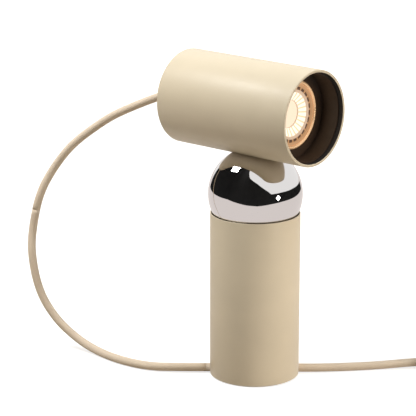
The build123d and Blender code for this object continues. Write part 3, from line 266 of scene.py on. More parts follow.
class LampColours(bpy.types.PropertyGroup):
    """Colours of the lamp's finishes."""

    paint: colour("Body paint", "Satin powder coat of head and base", 0.71, 0.580, 0.402)
    sleeve: colour("Sleeve black", "Paint of the sleeve round the bulb", 0.034, 0.018, 0.009)
    inside: colour("Inside black", "Paint inside the head", 0.010, 0.009, 0.009)
    ball: colour("Ball steel", "Polished steel of the ball", 0.74, 0.72, 0.71)
    flex: colour("Flex yarn", "Yarn of the textile flex", 0.90, 0.71, 0.51)
    # painted shade: the darker colour between the yarns of the flex
    flex_shade: colour("Flex groove", "Between the yarns of the flex", 0.68, 0.51, 0.35)
    glow: colour("Bulb light", "Light of the bulb", 1.0, 0.93, 0.78)
    # the plating's own colour, also the colour of its painted glow
    gold_and_painted_glow: colour("Bulb plating", "Warm plating of the bulb's ring", 0.80, 0.50, 0.27)
    plastic: colour("Cream plastic", "Plug and switch shell", 0.66, 0.58, 0.46)


# ---------------------------------------------------------------- modelling helpers
def clear_selection():
    """Leave edit mode and select nothing, so that the next operator works on one piece alone."""
    if bpy.context.mode != "OBJECT":
        bpy.ops.object.mode_set(mode="OBJECT")
    bpy.ops.object.select_all(action="DESELECT")


def take(piece):
    """Make this piece the only selected one, and the active one."""
    clear_selection()
    piece.select_set(True)
    bpy.context.view_layer.objects.active = piece


def choose(piece, kind, test):
    """In edit mode, select the faces, edges or corners that pass a test."""
    bpy.ops.mesh.select_mode(type=kind)
    bpy.ops.mesh.select_all(action="DESELECT")
    shape = bmesh.from_edit_mesh(piece.data)
    for part in {"VERT": shape.verts, "EDGE": shape.edges, "FACE": shape.faces}[kind]:
        if test(part):
            part.select_set(True)
    bmesh.update_edit_mesh(piece.data)


def rims(piece, corners):
    """In edit mode, select the round edges that run through these (height, radius) corners."""
    def at_corner(vertex):
        radius = hypot(vertex.co.x, vertex.co.y)
        return any(abs(vertex.co.z - z) < TINY and abs(radius - r) < TINY for z, r in corners)

    choose(piece, "EDGE", lambda edge: all(at_corner(vertex) for vertex in edge.verts))


def face_outwards(piece):
    """In edit mode, point every face of a closed piece outwards."""
    bpy.ops.mesh.select_all(action="SELECT")
    bpy.ops.mesh.normals_make_consistent(inside=False)
    if bmesh.from_edit_mesh(piece.data).calc_volume(signed=True) < 0:
        bpy.ops.mesh.flip_normals()


def turned(name, stations, facets=96, closed=False):
    """A turned piece about +Z: one ring, extruded and scaled from station to station (height, radius).

    A closed piece has its last ring joined to its first.  Any other gets a flat face over each end.
    """
    clear_selection()
    bpy.ops.mesh.primitive_circle_add(vertices=facets, radius=stations[0][1], location=(0, 0, 0))
    piece = bpy.context.object
    piece.name = name
    bpy.ops.object.mode_set(mode="EDIT")
    bpy.ops.mesh.select_mode(type="VERT")
    bpy.ops.mesh.select_all(action="SELECT")
    bpy.ops.transform.translate(value=(0, 0, stations[0][0]))
    for (height, radius), (next_height, next_radius) in zip(stations, stations[1:]):
        bpy.ops.mesh.extrude_region_move(TRANSFORM_OT_translate={"value": (0, 0, next_height - height)})
        grow = next_radius / radius
        bpy.ops.transform.resize(value=(grow, grow, 1), center_override=(0, 0, 0))
    if closed:
        rims(piece, [stations[0], stations[-1]])
        bpy.ops.mesh.bridge_edge_loops()
    else:
        for end in (stations[0], stations[-1]):
            rims(piece, [end])
            bpy.ops.mesh.edge_face_add()
    face_outwards(piece)
    bpy.ops.object.mode_set(mode="OBJECT")
    return piece


def hollow_tube(name, span, outer, wall, rim, facets):
    """A tube about +Z: a cylinder whose ends are inset and bridged into a bore, with rounded rims."""
    clear_selection()
    bpy.ops.mesh.primitive_cylinder_add(vertices=facets, radius=outer, depth=span, end_fill_type="NGON")
    tube = bpy.context.object
    tube.name = name
    bpy.ops.object.mode_set(mode="EDIT")
    choose(tube, "FACE", lambda face: len(face.verts) > 4)
    bpy.ops.mesh.inset(thickness=wall)
    bpy.ops.mesh.bridge_edge_loops()
    rims(tube, [(end * span / 2, radius) for end in (-1, 1) for radius in (outer, outer - wall)])
    bpy.ops.mesh.bevel(offset=rim, segments=4, affect="EDGES")
    face_outwards(tube)
    bpy.ops.object.mode_set(mode="OBJECT")
    return tube


def place(piece, spot, turn=(0, 0, 0)):
    """Turn and move a piece to where it belongs, and fix that in its mesh."""
    take(piece)
    piece.rotation_euler = turn
    piece.location = spot
    bpy.ops.object.transform_apply(location=True, rotation=True, scale=True)
    return piece


def modify(piece, kind, **settings):
    """Add one modifier, set it and apply it."""
    take(piece)
    modifier = piece.modifiers.new(kind.lower(), kind)
    for key, value in settings.items():
        setattr(modifier, key, value)
    bpy.ops.object.modifier_apply(modifier=modifier.name)
    return piece


def cut(piece, cutter, solver="EXACT"):
    """Cut one piece with another, which is used up."""
    modify(piece, "BOOLEAN", operation="DIFFERENCE", solver=solver, object=cutter)
    bpy.data.objects.remove(cutter)
    return piece


def cut_belly(head, reach):
    """Hollow the head to the ball.  A cut that leaves the cutter's lower half behind is made again."""
    whole = head.data.copy()
    for _ in range(CUT_TRIES):
        clear_selection()
        bpy.ops.mesh.primitive_uv_sphere_add(
            segments=160, ring_count=80, radius=reach, location=ball_centre, rotation=BELLY_TURN
        )
        cut(head, bpy.context.object, "FAST")
        if min((vertex.co.z for vertex in head.data.vertices), default=0) > head_z - head_radius - MM:
            return
        head.data = whole.copy()
    raise RuntimeError("the head's belly could not be cut")


def smooth(piece, angle=32):
    """Shade smoothly, with creases kept where faces meet at more than this angle."""
    take(piece)
    bpy.ops.object.shade_smooth_by_angle(angle=radians(angle))
    return piece


def dress(piece, finish, body, slot, *nodes):
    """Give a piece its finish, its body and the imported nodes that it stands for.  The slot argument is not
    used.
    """
    if finish:
        piece.data.materials.clear()
        piece.data.materials.append(finish)
    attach(piece, body)
    if nodes:
        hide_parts(*nodes)
    return piece


def refinish(finish, *nodes):
    """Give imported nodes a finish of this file."""
    for node in nodes:
        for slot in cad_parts[node].material_slots:
            slot.material = finish


# ---------------------------------------------------------------- finishes
def add_node(finish, kind, sockets=None, **settings):
    """Add a node to a finish or a world.  A socket is set to a value, or linked to the socket it is given."""
    tree = finish.node_tree
    node = tree.nodes.new(kind)
    for key, value in settings.items():
        setattr(node, key, value)
    for key, value in (sockets or {}).items():
        if isinstance(value, bpy.types.NodeSocket):
            tree.links.new(value, node.inputs[key])
        else:
            node.inputs[key].default_value = value
    return node


def shader_of(finish):
    """The finish's surface shader."""
    return finish.node_tree.nodes["Principled BSDF"]


def new_finish(name, base, roughness, metallic=0.0, **sockets):
    """A finish with one surface shader: its colour, roughness and any other socket."""
    finish = bpy.data.materials.new(name)
    finish.use_nodes = True
    shader = shader_of(finish)
    shader.inputs["Base Color"].default_value = base
    shader.inputs["Roughness"].default_value = roughness
    shader.inputs["Metallic"].default_value = metallic
    for key, value in sockets.items():
        shader.inputs[key.replace("_", " ").title()].default_value = value
    return finish


def noise(finish, scale, detail=2.0, stretch=(1, 1, 1)):
    """Noise on the piece's own coordinates, so many cells to a metre."""
    own = add_node(finish, "ShaderNodeTexCoord")
    mapped = add_node(finish, "ShaderNodeMapping", {"Vector": own.outputs["Object"], "Scale": stretch})
    return add_node(
        finish, "ShaderNodeTexNoise", {"Vector": mapped.outputs["Vector"], "Scale": scale, "Detail": detail}
    ).outputs["Fac"]


def bump(finish, height, distance, strength=1.0):
    """Raise the surface by a pattern."""
    node = add_node(finish, "ShaderNodeBump", {"Height": height, "Distance": distance, "Strength": strength})
    finish.node_tree.links.new(node.outputs["Normal"], shader_of(finish).inputs["Normal"])


def tint(finish, pattern, one, other, low=0.3, high=0.7):
    """Vary the colour between two by a pattern."""
    ramp = add_node(finish, "ShaderNodeValToRGB", {"Fac": pattern})
    ramp.color_ramp.elements[0].position = low
    ramp.color_ramp.elements[0].color = one
    ramp.color_ramp.elements[1].position = high
    ramp.color_ramp.elements[1].color = other
    finish.node_tree.links.new(ramp.outputs["Color"], shader_of(finish).inputs["Base Color"])


def vary_gloss(finish, pattern, low, high):
    """Vary the roughness between two values by a pattern."""
    spread = add_node(finish, "ShaderNodeMapRange", {
        "Value": pattern, "From Min": 0.3, "From Max": 0.7, "To Min": low, "To Max": high,
    })
    finish.node_tree.links.new(spread.outputs["Result"], shader_of(finish).inputs["Roughness"])


def shade(base, factor):
    """A colour made lighter or darker."""
    return (*(min(1.0, channel * factor) for channel in base[:3]), 1)


def powder_paint(name, base, roughness=0.42):
    """Satin powder coat: a faint orange peel, a faint cloudiness and uneven gloss."""
    finish = new_finish(name, base, roughness)
    tint(finish, noise(finish, 38, 3), shade(base, 0.975), shade(base, 1.02))
    vary_gloss(finish, noise(finish, 210, 2), roughness - 0.05, roughness + 0.05)
    bump(finish, noise(finish, 900, 3), 0.00003, 0.5)
    return finish


def moulded_plastic(name, base, roughness=0.38):
    """Moulded plastic: a fine spark-eroded grain."""
    finish = new_finish(name, base, roughness)
    tint(finish, noise(finish, 60, 2), shade(base, 0.97), shade(base, 1.02))
    bump(finish, noise(finish, 2600, 2), 0.00002, 0.6)
    return finish


def worked_metal(name, base, roughness, stretch=(1, 1, 1), grain=900):
    """Bare metal with the marks of how it was turned, pressed or cast."""
    finish = new_finish(name, base, roughness, 1.0)
    marks = noise(finish, grain, 3, stretch)
    vary_gloss(finish, marks, roughness * 0.8, roughness * 1.25)
    bump(finish, marks, 0.00002, 0.5)
    return finish


def soft_fabric(name, base, scale=1400, depth=0.00025):
    """Pressed or looped fabric: fibres that lie every way."""
    finish = new_finish(name, base, 0.95, Sheen_Weight=0.3)
    fibres = noise(finish, scale, 6)
    tint(finish, fibres, shade(base, 0.7), shade(base, 1.25))
    bump(finish, fibres, depth)
    return finish


def polished_ball(name, base):
    """Mirror-polished steel with a trace of haze from the polishing wheel."""
    finish = new_finish(name, base, 0.02, 1.0)
    vary_gloss(finish, noise(finish, 55, 4), 0.012, 0.035)
    return finish


def braided_yarn(name, yarn, groove_shade, yarns, turns_per_metre):
    """Braid of a textile flex: two sets of yarns that cross, read from the tube's own map, with painted shade
    in the grooves between them.
    """
    finish = new_finish(name, yarn, 0.8, Sheen_Weight=0.25)
    own_map = add_node(finish, "ShaderNodeUVMap", uv_map="along_flex")
    parts = add_node(finish, "ShaderNodeSeparateXYZ", {"Vector": own_map.outputs["UV"]})

    def maths(operation, first, second=0.0):
        return add_node(finish, "ShaderNodeMath", {0: first, 1: second}, operation=operation).outputs[0]

    around = maths("MULTIPLY", parts.outputs["X"], yarns * pi)
    along = maths("MULTIPLY", parts.outputs["Y"], yarns * pi * turns_per_metre)
    one_way = maths("ABSOLUTE", maths("SINE", maths("ADD", around, along)))
    other_way = maths("ABSOLUTE", maths("SINE", maths("SUBTRACT", around, along)))
    crossing = maths("POWER", maths("MULTIPLY", one_way, other_way), 0.6)
    # painted shade: the grooves between the yarns take the darker colour
    tint(finish, crossing, groove_shade, yarn, 0.05, 0.55)
    bump(finish, crossing, 0.0003, 0.8)
    return finish


def lit_lens(name, light, strength, roughness=0.3):
    """Lens plastic that the bulb's light shines out of."""
    finish = new_finish(name, shade(light, 0.3), roughness, Emission_Color=light, Emission_Strength=strength)
    bump(finish, noise(finish, 700, 2), 0.0001, 0.4)
    return finish


# ---------------------------------------------------------------- flex
def smooth_curve(name, route):
    """A curve that the control points of a route shape, given in millimetres."""
    data = bpy.data.curves.new(name, "CURVE")
    data.dimensions = "3D"
    data.resolution_u = 8
    spline = data.splines.new("NURBS")
    spline.points.add(len(route) - 1)
    for point, spot in zip(spline.points, route):
        point.co = (*(value * MM for value in spot), 1)
    spline.order_u = 3
    spline.use_endpoint_u = True
    curve = bpy.data.objects.new(name, data)
    bpy.context.scene.collection.objects.link(curve)
    return curve


def mesh_of(curve):
    """The mesh of a curve, which is used up."""
    bpy.context.view_layer.update()
    mesh = bpy.data.meshes.new_from_object(curve)
    data = curve.data
    bpy.data.objects.remove(curve)
    bpy.data.curves.remove(data)
    return mesh


def smooth_line(name, route):
    """Points along the smooth line that a route's control points shape."""
    line = mesh_of(smooth_curve(name, route))
    points = [vertex.co.copy() for vertex in line.vertices]
    bpy.data.meshes.remove(line)
    return points


def flex_tube(name, points, radius, around=18):
    """A round tube along a line, with a map that counts round and along it."""
    mesh = bpy.data.meshes.new(name)
    shape = bmesh.new()
    own_map = shape.loops.layers.uv.new("along_flex")
    heading = (points[1] - points[0]).normalized()
    side = heading.orthogonal().normalized()
    rings = []
    travelled = [0.0]
    for index, point in enumerate(points):
        before = points[max(index - 1, 0)]
        after = points[min(index + 1, len(points) - 1)]
        turned_heading = (after - before).normalized()
        side.rotate(heading.rotation_difference(turned_heading))
        heading = turned_heading
        side = (side - heading * side.dot(heading)).normalized()
        across = heading.cross(side)
        rings.append([
            shape.verts.new(point + radius * (cos(angle) * side + sin(angle) * across))
            for angle in (2 * pi * step / around for step in range(around))
        ])
        if index:
            travelled.append(travelled[-1] + (point - before).length)
    for index in range(len(rings) - 1):
        for step in range(around):
            after = (step + 1) % around
            face = shape.faces.new((
                rings[index][step], rings[index][after], rings[index + 1][after], rings[index + 1][step]
            ))
            face.smooth = True
            corners = ((step, index), (step + 1, index), (step + 1, index + 1), (step, index + 1))
            for loop, (turn, ring) in zip(face.loops, corners):
                loop[own_map].uv = (turn / around, travelled[ring])
    shape.faces.new(reversed(rings[0]))
    shape.faces.new(rings[-1])
    shape.to_mesh(mesh)
    shape.free()
    tube = bpy.data.objects.new(name, mesh)
    bpy.context.scene.collection.objects.link(tube)
    return tube


def strip(name, section, width):
    """A flat strip that spans Z and whose edge follows the smooth line of a section in X and Y."""
    curve = smooth_curve(name, [(x, y, 0) for x, y in section])
    curve.data.dimensions = "2D"
    curve.data.fill_mode = "NONE"
    curve.data.extrude = width / 2
    piece = bpy.data.objects.new(name, mesh_of(curve))
    bpy.context.scene.collection.objects.link(piece)
    return piece


# ---------------------------------------------------------------- operators
class LAMP_OT_camera(bpy.types.Operator):
    """Camera of the portrait"""

    bl_idname = "lamp.camera"
    bl_label = "Camera"

    def execute(self, context):
        clear_selection()
        bpy.ops.object.camera_add(location=CAMERA_PLACE, rotation=CAMERA_TURN)
        camera = context.object
        camera.name = "portrait_camera"
        camera.data.lens = CAMERA_LENS
        camera.data.sensor_width = 36
        camera.data.clip_end = 30
        context.scene.camera = camera
        return {"FINISHED"}


class LAMP_OT_flex(bpy.types.Operator):
    """Textile flex: the loop behind the head, and the mains lead with its coil"""

    bl_idname = "lamp.flex"
    bl_label = "Flex"

    def execute(self, context):
        sizes = context.scene.lamp_sizes
        colours = context.scene.lamp_colours
        yarn = braided_yarn(
            "textile_braid", colours.flex, colours.flex_shade, sizes.braid_yarns, 1 / sizes.braid_pitch
        )
        radius = sizes.cord_diameter / 2
        upper_line = smooth_line("upper_line", upper_route)
        lower_line = smooth_line("lower_line", lower_route)
        mains_line = smooth_line("mains_line", mains_route)

        upper = flex_tube("flex_upper", upper_line, radius)
        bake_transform(upper)
        lower = flex_tube("flex_lower", lower_line, radius)
        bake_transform(lower)
        mains = flex_tube("mains_lead", mains_line, radius)
        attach(mains, "base")
        for tube, nodes in (
            (upper, ["cord_loop_upper"]),
            (lower, ["cord_loop_lower"]),
            (mains, ["cord_in_base", "cord_lead", "cord_to_coil", "cord_coil", "cord_tail"]),
        ):
            tube.data.materials.append(yarn)
            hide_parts(*nodes)
        mains.visible_glossy = False
        return {"FINISHED"}


class LAMP_OT_tubes(bpy.types.Operator):
    """Painted tubes of head and base"""

    bl_idname = "lamp.tubes"
    bl_label = "Painted Tubes"

    def execute(self, context):
        sizes = context.scene.lamp_sizes
        colours = context.scene.lamp_colours
        paint = powder_paint("satin_paint", colours.paint)
        inside = powder_paint("inside_black", colours.inside, 0.5)

        head = hollow_tube(
            "head_shell", head_high.x - head_low.x, head_radius, sizes.head_wall, sizes.rim_round,
            sizes.tube_facets,
        )
        place(head, ((head_high.x + head_low.x) / 2, 0, head_z), HEADWAYS)
        cut_belly(head, ball_radius + sizes.belly_gap)
        dress(smooth(head), paint, "head", "body_paint", "head_tube")
        head.data.materials.append(inside)
        just_in_the_wall = head_radius - sizes.head_wall + 0.2 * MM
        for face in head.data.polygons:
            from_axis = hypot(face.center.y, face.center.z - head_z)
            if from_axis < just_in_the_wall and abs(face.normal.x) < 0.3:
                face.material_index = 1

        base = hollow_tube(
            "base_shell", base_high.z - base_low.z, base_radius, sizes.base_wall, 0.75 * sizes.rim_round,
            sizes.tube_facets,
        )
        place(base, (0, 0, (base_high.z + base_low.z) / 2))
        clear_selection()
        notch = sizes.cord_diameter / 2 + 0.4 * MM
        bpy.ops.mesh.primitive_cylinder_add(
            vertices=48, radius=notch, depth=3 * base_radius, location=(0, 0, slot_cord_z * MM),
            rotation=(0, radians(90), lead_angle),
        )
        cutter = context.object
        bpy.ops.object.mode_set(mode="EDIT")
        choose(cutter, "FACE", lambda face: face.normal.x > 0.2)
        bpy.ops.transform.translate(value=(0, 0, -notch))
        bpy.ops.object.mode_set(mode="OBJECT")
        cut(base, cutter)
        dress(smooth(base), paint, "base", "body_paint", "base_tube")
        refinish(paint, "rear_cap")
        return {"FINISHED"}


class LAMP_OT_ball(bpy.types.Operator):
    """Polished steel ball, hollow and vented below"""

    bl_idname = "lamp.ball"
    bl_label = "Ball"

    def execute(self, context):
        sizes = context.scene.lamp_sizes
        clear_selection()
        bpy.ops.mesh.primitive_uv_sphere_add(segments=192, ring_count=96, radius=ball_radius)
        ball = context.object
        ball.name = "polished_ball"
        bpy.ops.object.mode_set(mode="EDIT")
        vent = 2.4 * MM
        choose(ball, "FACE", lambda face: all(
            hypot(corner.co.x, corner.co.y) < vent and corner.co.z < 0 for corner in face.verts
        ))
        bpy.ops.mesh.delete(type="FACE")
        bpy.ops.object.mode_set(mode="OBJECT")
        modify(ball, "SOLIDIFY", thickness=sizes.ball_wall, offset=-1)
        place(ball, ball_centre)
        dress(smooth(ball, 40), polished_ball("polished_steel", context.scene.lamp_colours.ball),
              "ball", "polished_steel", "ball_shell")
        return {"FINISHED"}


class LAMP_OT_bulb(bpy.types.Operator):
    """Reflector bulb: lit lens with its wedges, plated ring with a painted glow, body and pins"""

    bl_idname = "lamp.bulb"
    bl_label = "Bulb"

    def execute(self, context):
        sizes = context.scene.lamp_sizes
        colours = context.scene.lamp_colours
        facets = 4 * sizes.lens_wedges
        front = [
            (-7.0, 9.6), (-4.6, 15.6), (-3.6, 20.0), (-3.6, 22.2), (-0.8, 22.2), (-0.6, 21.9), (-0.9, 20.7),
            (-2.2, 20.4), (-2.3, 18.4), (-1.7, 18.1), (-1.9, 16.3), (-2.5, 16.0), (-5.6, 10.4), (-6.0, 10.0),
        ]
        lens = turned("lit_lens", [(x * MM, r * MM) for x, r in front], facets)
        sector = 2 * pi / sizes.lens_wedges

        def ring_of(face):
            middle = face.calc_center_median()
            return hypot(middle.x, middle.y) / MM, middle.z / MM, atan2(middle.y, middle.x) % sector / sector

        def raised(inner, outer, above, share, depth):
            """Raise part of each sector of one ring of faces."""
            def test(face):
                radius, height, part = ring_of(face)
                return inner < radius < outer and height > above and part < share and face.normal.z > 0.2

            choose(lens, "FACE", test)
            bpy.ops.mesh.inset(thickness=0.12 * MM, depth=depth, use_even_offset=True)

        bpy.ops.object.mode_set(mode="EDIT")
        raised(11.5, 15.0, -5, 0.75, 0.7 * MM)
        raised(16.5, 17.9, -3, 0.5, 0.35 * MM)
        raised(18.6, 20.2, -3, 0.25, 0.4 * MM)
        bpy.ops.object.mode_set(mode="OBJECT")
        centre, wedges, wedge_gaps, cells, shadow_ring, outer_ring = range(6)
        finishes = [
            lit_lens("lens_centre", (0.86, 0.70, 0.52, 1), sizes.bulb_glow),
            lit_lens("lens_wedges", colours.glow, 0.93 * sizes.bulb_glow),
            lit_lens("lens_wedge_gaps", (0.84, 0.62, 0.38, 1), sizes.bulb_glow),
            lit_lens("lens_cells", (0.56, 0.40, 0.28, 1), sizes.bulb_glow),
            lit_lens("lens_shadow_ring", (0.090, 0.050, 0.030, 1), sizes.bulb_glow),
            lit_lens("lens_outer_ring", (0.44, 0.24, 0.115, 1), sizes.bulb_glow),
        ]
        dress(lens, None, "bulb", "lens_glass", "bulb_lens")
        for finish in finishes:
            lens.data.materials.append(finish)
        for face in lens.data.polygons:
            radius = hypot(face.center.x, face.center.y) / MM
            height = face.center.z / MM
            part = atan2(face.center.y, face.center.x) % sector / sector
            if radius < 10.1:
                face.material_index = centre
            elif radius < 10.45:
                face.material_index = cells
            elif radius < 16.1:
                face.material_index = wedges if part < 0.75 and face.normal.z > 0.3 else wedge_gaps
            elif radius < 18.2:
                face.material_index = cells
            elif radius < 20.5 and height > -2.6:
                face.material_index = outer_ring if part < 0.25 else shadow_ring
            else:
                face.material_index = outer_ring
        place(smooth(lens, 25), (bulb_face_x, 0, head_z), HEADWAYS)

        # The plated ring is no lamp, yet it glows in its own gold colour: a painted glow and highlight.
        plating = new_finish(
            "plating_painted_glow", colours.gold_and_painted_glow, 0.28, 0.75,
            Emission_Color=colours.gold_and_painted_glow, Emission_Strength=0.35 * sizes.bulb_glow,
        )
        vary_gloss(plating, noise(plating, 300, 2), 0.22, 0.34)
        ring = turned("plated_ring", [(x * MM, r * MM) for x, r in (
            (-5.0, 22.5), (-5.0, 25.0), (-0.9, 25.0), (-0.4, 24.85), (-0.1, 24.5), (0, 24.0), (-0.25, 23.7),
            (-0.35, 23.2), (-0.15, 22.9), (-0.5, 22.5),
        )], 128, closed=True)
        place(ring, (bulb_face_x, 0, head_z), HEADWAYS)
        dress(smooth(ring, 40), plating, "bulb", "bulb_plating", "bulb_rim")
        refinish(moulded_plastic("bulb_shell", (0.78, 0.76, 0.72, 1)), "bulb_body")
        refinish(worked_metal("bulb_pin_steel", (0.62, 0.60, 0.57, 1), 0.3), "bulb_pins")
        refinish(lit_lens("phosphor", (0.93, 0.86, 0.66, 1), sizes.bulb_glow), "bulb_emitter")
        return {"FINISHED"}


class LAMP_OT_sleeve(bpy.types.Operator):
    """Black sleeve round the bulb, and the ring that the ball turns in"""

    bl_idname = "lamp.sleeve"
    bl_label = "Sleeve And Seat"

    def execute(self, context):
        sleeve = powder_paint("sleeve_black", context.scene.lamp_colours.sleeve, 0.48)
        refinish(sleeve, "baffle")
        refinish(moulded_plastic("seat_nylon", (0.045, 0.035, 0.028, 1), 0.5), "seat_ring")
        return {"FINISHED"}


class LAMP_OT_rear(bpy.types.Operator):
    """Cord grip and screws in the rear recess"""

    bl_idname = "lamp.rear"
    bl_label = "Rear Recess"

    def execute(self, context):
        sizes = context.scene.lamp_sizes
        plastic = moulded_plastic("grip_plastic", shade(context.scene.lamp_colours.paint, 0.9), 0.45)
        bore = sizes.cord_diameter / 2 + 0.1 * MM
        span = cap_face_x - grip_end_x
        stations = [
            (9.0 * MM, bore), (9.0 * MM, 4.9 * MM), (0, 5.0 * MM), (0, 7.7 * MM), (-0.3 * MM, 8.0 * MM),
            (-2.1 * MM, 8.0 * MM), (-2.5 * MM, 7.6 * MM),
        ]
        pitch = (span - 4.0 * MM) / sizes.grip_ribs
        for rib in range(sizes.grip_ribs):
            back = 2.6 * MM + rib * pitch
            radius = 6.2 * MM - 1.9 * MM * rib / sizes.grip_ribs
            stations += [
                (-back, radius), (-back - 0.55 * pitch, radius - 0.15 * MM),
                (-back - 0.68 * pitch, radius - 0.9 * MM), (-back - 0.9 * pitch, radius - 0.9 * MM),
            ]
        stations += [
            (-span + 0.9 * MM, 4.25 * MM), (-span + 0.3 * MM, 4.15 * MM), (-span, 3.8 * MM), (-span, bore),
        ]
        grip = turned("cord_grip_sleeve", stations, 72, closed=True)
        place(grip, (cap_face_x, 0, head_z), HEADWAYS)
        dress(smooth(grip, 40), plastic, "head", "nylon", "cord_grip")

        steel = worked_metal("screw_steel", (0.60, 0.58, 0.55, 1), 0.28)
        screws = []
        for side in (-14, 14):
            screw = turned("cap_screw", [(x * MM, r * MM) for x, r in (
                (8.7, 1.5), (0, 1.5), (0, 2.6), (-0.25, 2.75), (-1.2, 2.6), (-1.7, 2.1), (-2.0, 1.2),
            )], 40)
            for turn in (0, 90):
                clear_selection()
                bpy.ops.mesh.primitive_cube_add(
                    size=1, location=(0, 0, -1.6 * MM), rotation=(0, 0, radians(turn))
                )
                blade = context.object
                blade.scale = (3.0 * MM, 0.55 * MM, 1.4 * MM)
                bpy.ops.object.transform_apply(location=True, rotation=True, scale=True)
                cut(screw, blade)
            screws.append(place(smooth(screw, 30), (cap_face_x, side * MM, head_z + 6 * MM), HEADWAYS))
        clear_selection()
        for screw in screws:
            screw.select_set(True)
        context.view_layer.objects.active = screws[0]
        bpy.ops.object.join()
        screws[0].name = "cap_screw_pair"
        dress(screws[0], steel, "head", "turned_steel", "cap_screws")
        return {"FINISHED"}


class LAMP_OT_foot(bpy.types.Operator):
    """Felt under the base"""

    bl_idname = "lamp.foot"
    bl_label = "Foot"

    def execute(self, context):
        felt = turned("felt_disc", [(height * MM, felt_radius - inset * MM) for height, inset in (
            (0, 0.4), (0.12, 0.1), (0.3, 0), (0.5, 0.05), (0.7, 0.3),
        )], 128)
        dress(smooth(felt, 60), soft_fabric("foot_felt", (0.12, 0.105, 0.09, 1)), "base", "felt", "foot_felt")
        refinish(moulded_plastic("pad_rubber", (0.03, 0.03, 0.03, 1), 0.7), "foot_pads")
        return {"FINISHED"}


class LAMP_OT_mechanism(bpy.types.Operator):
    """Finishes of the pieces inside head and base"""

    bl_idname = "lamp.mechanism"
    bl_label = "Mechanism"

    def execute(self, context):
        iron = worked_metal("cast_iron", (0.10, 0.095, 0.09, 1), 0.6, grain=350)
        bump(iron, noise(iron, 520, 5), 0.0002, 0.6)
        refinish(iron, "base_weight")
        steel_bar = worked_metal("turned_steel", (0.56, 0.55, 0.53, 1), 0.32, (1, 1, 30))
        refinish(steel_bar, "magnet_column", "column_nut")
        sheet_steel = worked_metal("pressed_steel", (0.50, 0.49, 0.47, 1), 0.4)
        refinish(
            sheet_steel, "carrier_disc", "magnet_pot", "bracket", "cap_standoffs", "bracket_screws",
            "holder_screws", "terminal_screws",
        )
        refinish(worked_metal("nickel_plate", (0.68, 0.65, 0.60, 1), 0.18), "base_magnet", "head_magnet")
        refinish(worked_metal("cast_alloy", (0.52, 0.52, 0.53, 1), 0.5, grain=400), "saddle")
        refinish(moulded_plastic("glazed_ceramic", (0.82, 0.80, 0.75, 1), 0.22), "lampholder")
        refinish(worked_metal("contact_brass", (0.78, 0.60, 0.30, 1), 0.3), "holder_contacts")
        refinish(moulded_plastic("lock_nut_nylon", (0.35, 0.32, 0.28, 1), 0.5), "grip_nut")
        refinish(moulded_plastic("block_plastic", (0.80, 0.79, 0.76, 1), 0.4), "terminal_block")
        refinish(soft_fabric("wire_sleeving", (0.70, 0.66, 0.58, 1), 2400, 0.0001), "lamp_wires")
        refinish(moulded_plastic("flex_jacket", (0.75, 0.66, 0.52, 1), 0.6), "cord_in_head")
        return {"FINISHED"}


class LAMP_OT_switch_and_plug(bpy.types.Operator):
    """Finishes of the in-line switch and the plug"""

    bl_idname = "lamp.switch_and_plug"
    bl_label = "Switch And Plug"

    def execute(self, context):
        plastic = context.scene.lamp_colours.plastic
        cream = moulded_plastic("cream_plastic", plastic)
        refinish(cream, "switch_base", "switch_cover", "plug_body", "plug_relief")
        refinish(moulded_plastic("rocker_plastic", shade(plastic, 0.86), 0.32), "switch_rocker")
        refinish(moulded_plastic("sleeve_plastic", (0.05, 0.05, 0.05, 1), 0.45), "pin_sleeves")
        refinish(worked_metal("pin_nickel", (0.70, 0.67, 0.62, 1), 0.2), "plug_pins")
        brass = worked_metal("switch_brass", (0.78, 0.60, 0.30, 1), 0.3)
        refinish(brass, "switch_contacts", "switch_screws")
        for name in ON_THE_LEAD:
            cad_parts[name].visible_glossy = False
        return {"FINISHED"}


class LAMP_OT_tie(bpy.types.Operator):
    """Hook-and-loop tie round the coil, with its end lapped over its start"""

    bl_idname = "lamp.tie"
    bl_label = "Coil Tie"

    def execute(self, context):
        low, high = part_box("coil_tie")
        middle = (low + high) / 2
        thickness = 0.6
        corner = 3.0                     # from a control point at a corner to those before and after it
        out = 10.3
        up = (high.z - low.z) / MM / 2 - thickness / 2
        under = up - thickness - 0.02
        section = [
            (7, under), (-out + corner, under), (-out, under), (-out, under - corner), (-out, corner - up),
            (-out, -up), (corner - out, -up), (out - corner, -up), (out, -up), (out, corner - up),
            (out, up - corner), (out, up), (out - corner, up), (-5, up), (-8, up + 0.3),
        ]
        strap = strip("coil_strap", section, 8.0 * MM)
        modify(strap, "SOLIDIFY", thickness=thickness * MM, offset=0)
        modify(strap, "BEVEL", width=0.12 * MM, segments=2)
        place(strap, middle, (radians(90), 0, lead_angle))
        fabric = soft_fabric("tie_loop_fabric", (0.30, 0.25, 0.19, 1))
        dress(smooth(strap, 40), fabric, "base", "textile", "coil_tie")
        strap.visible_glossy = False
        return {"FINISHED"}


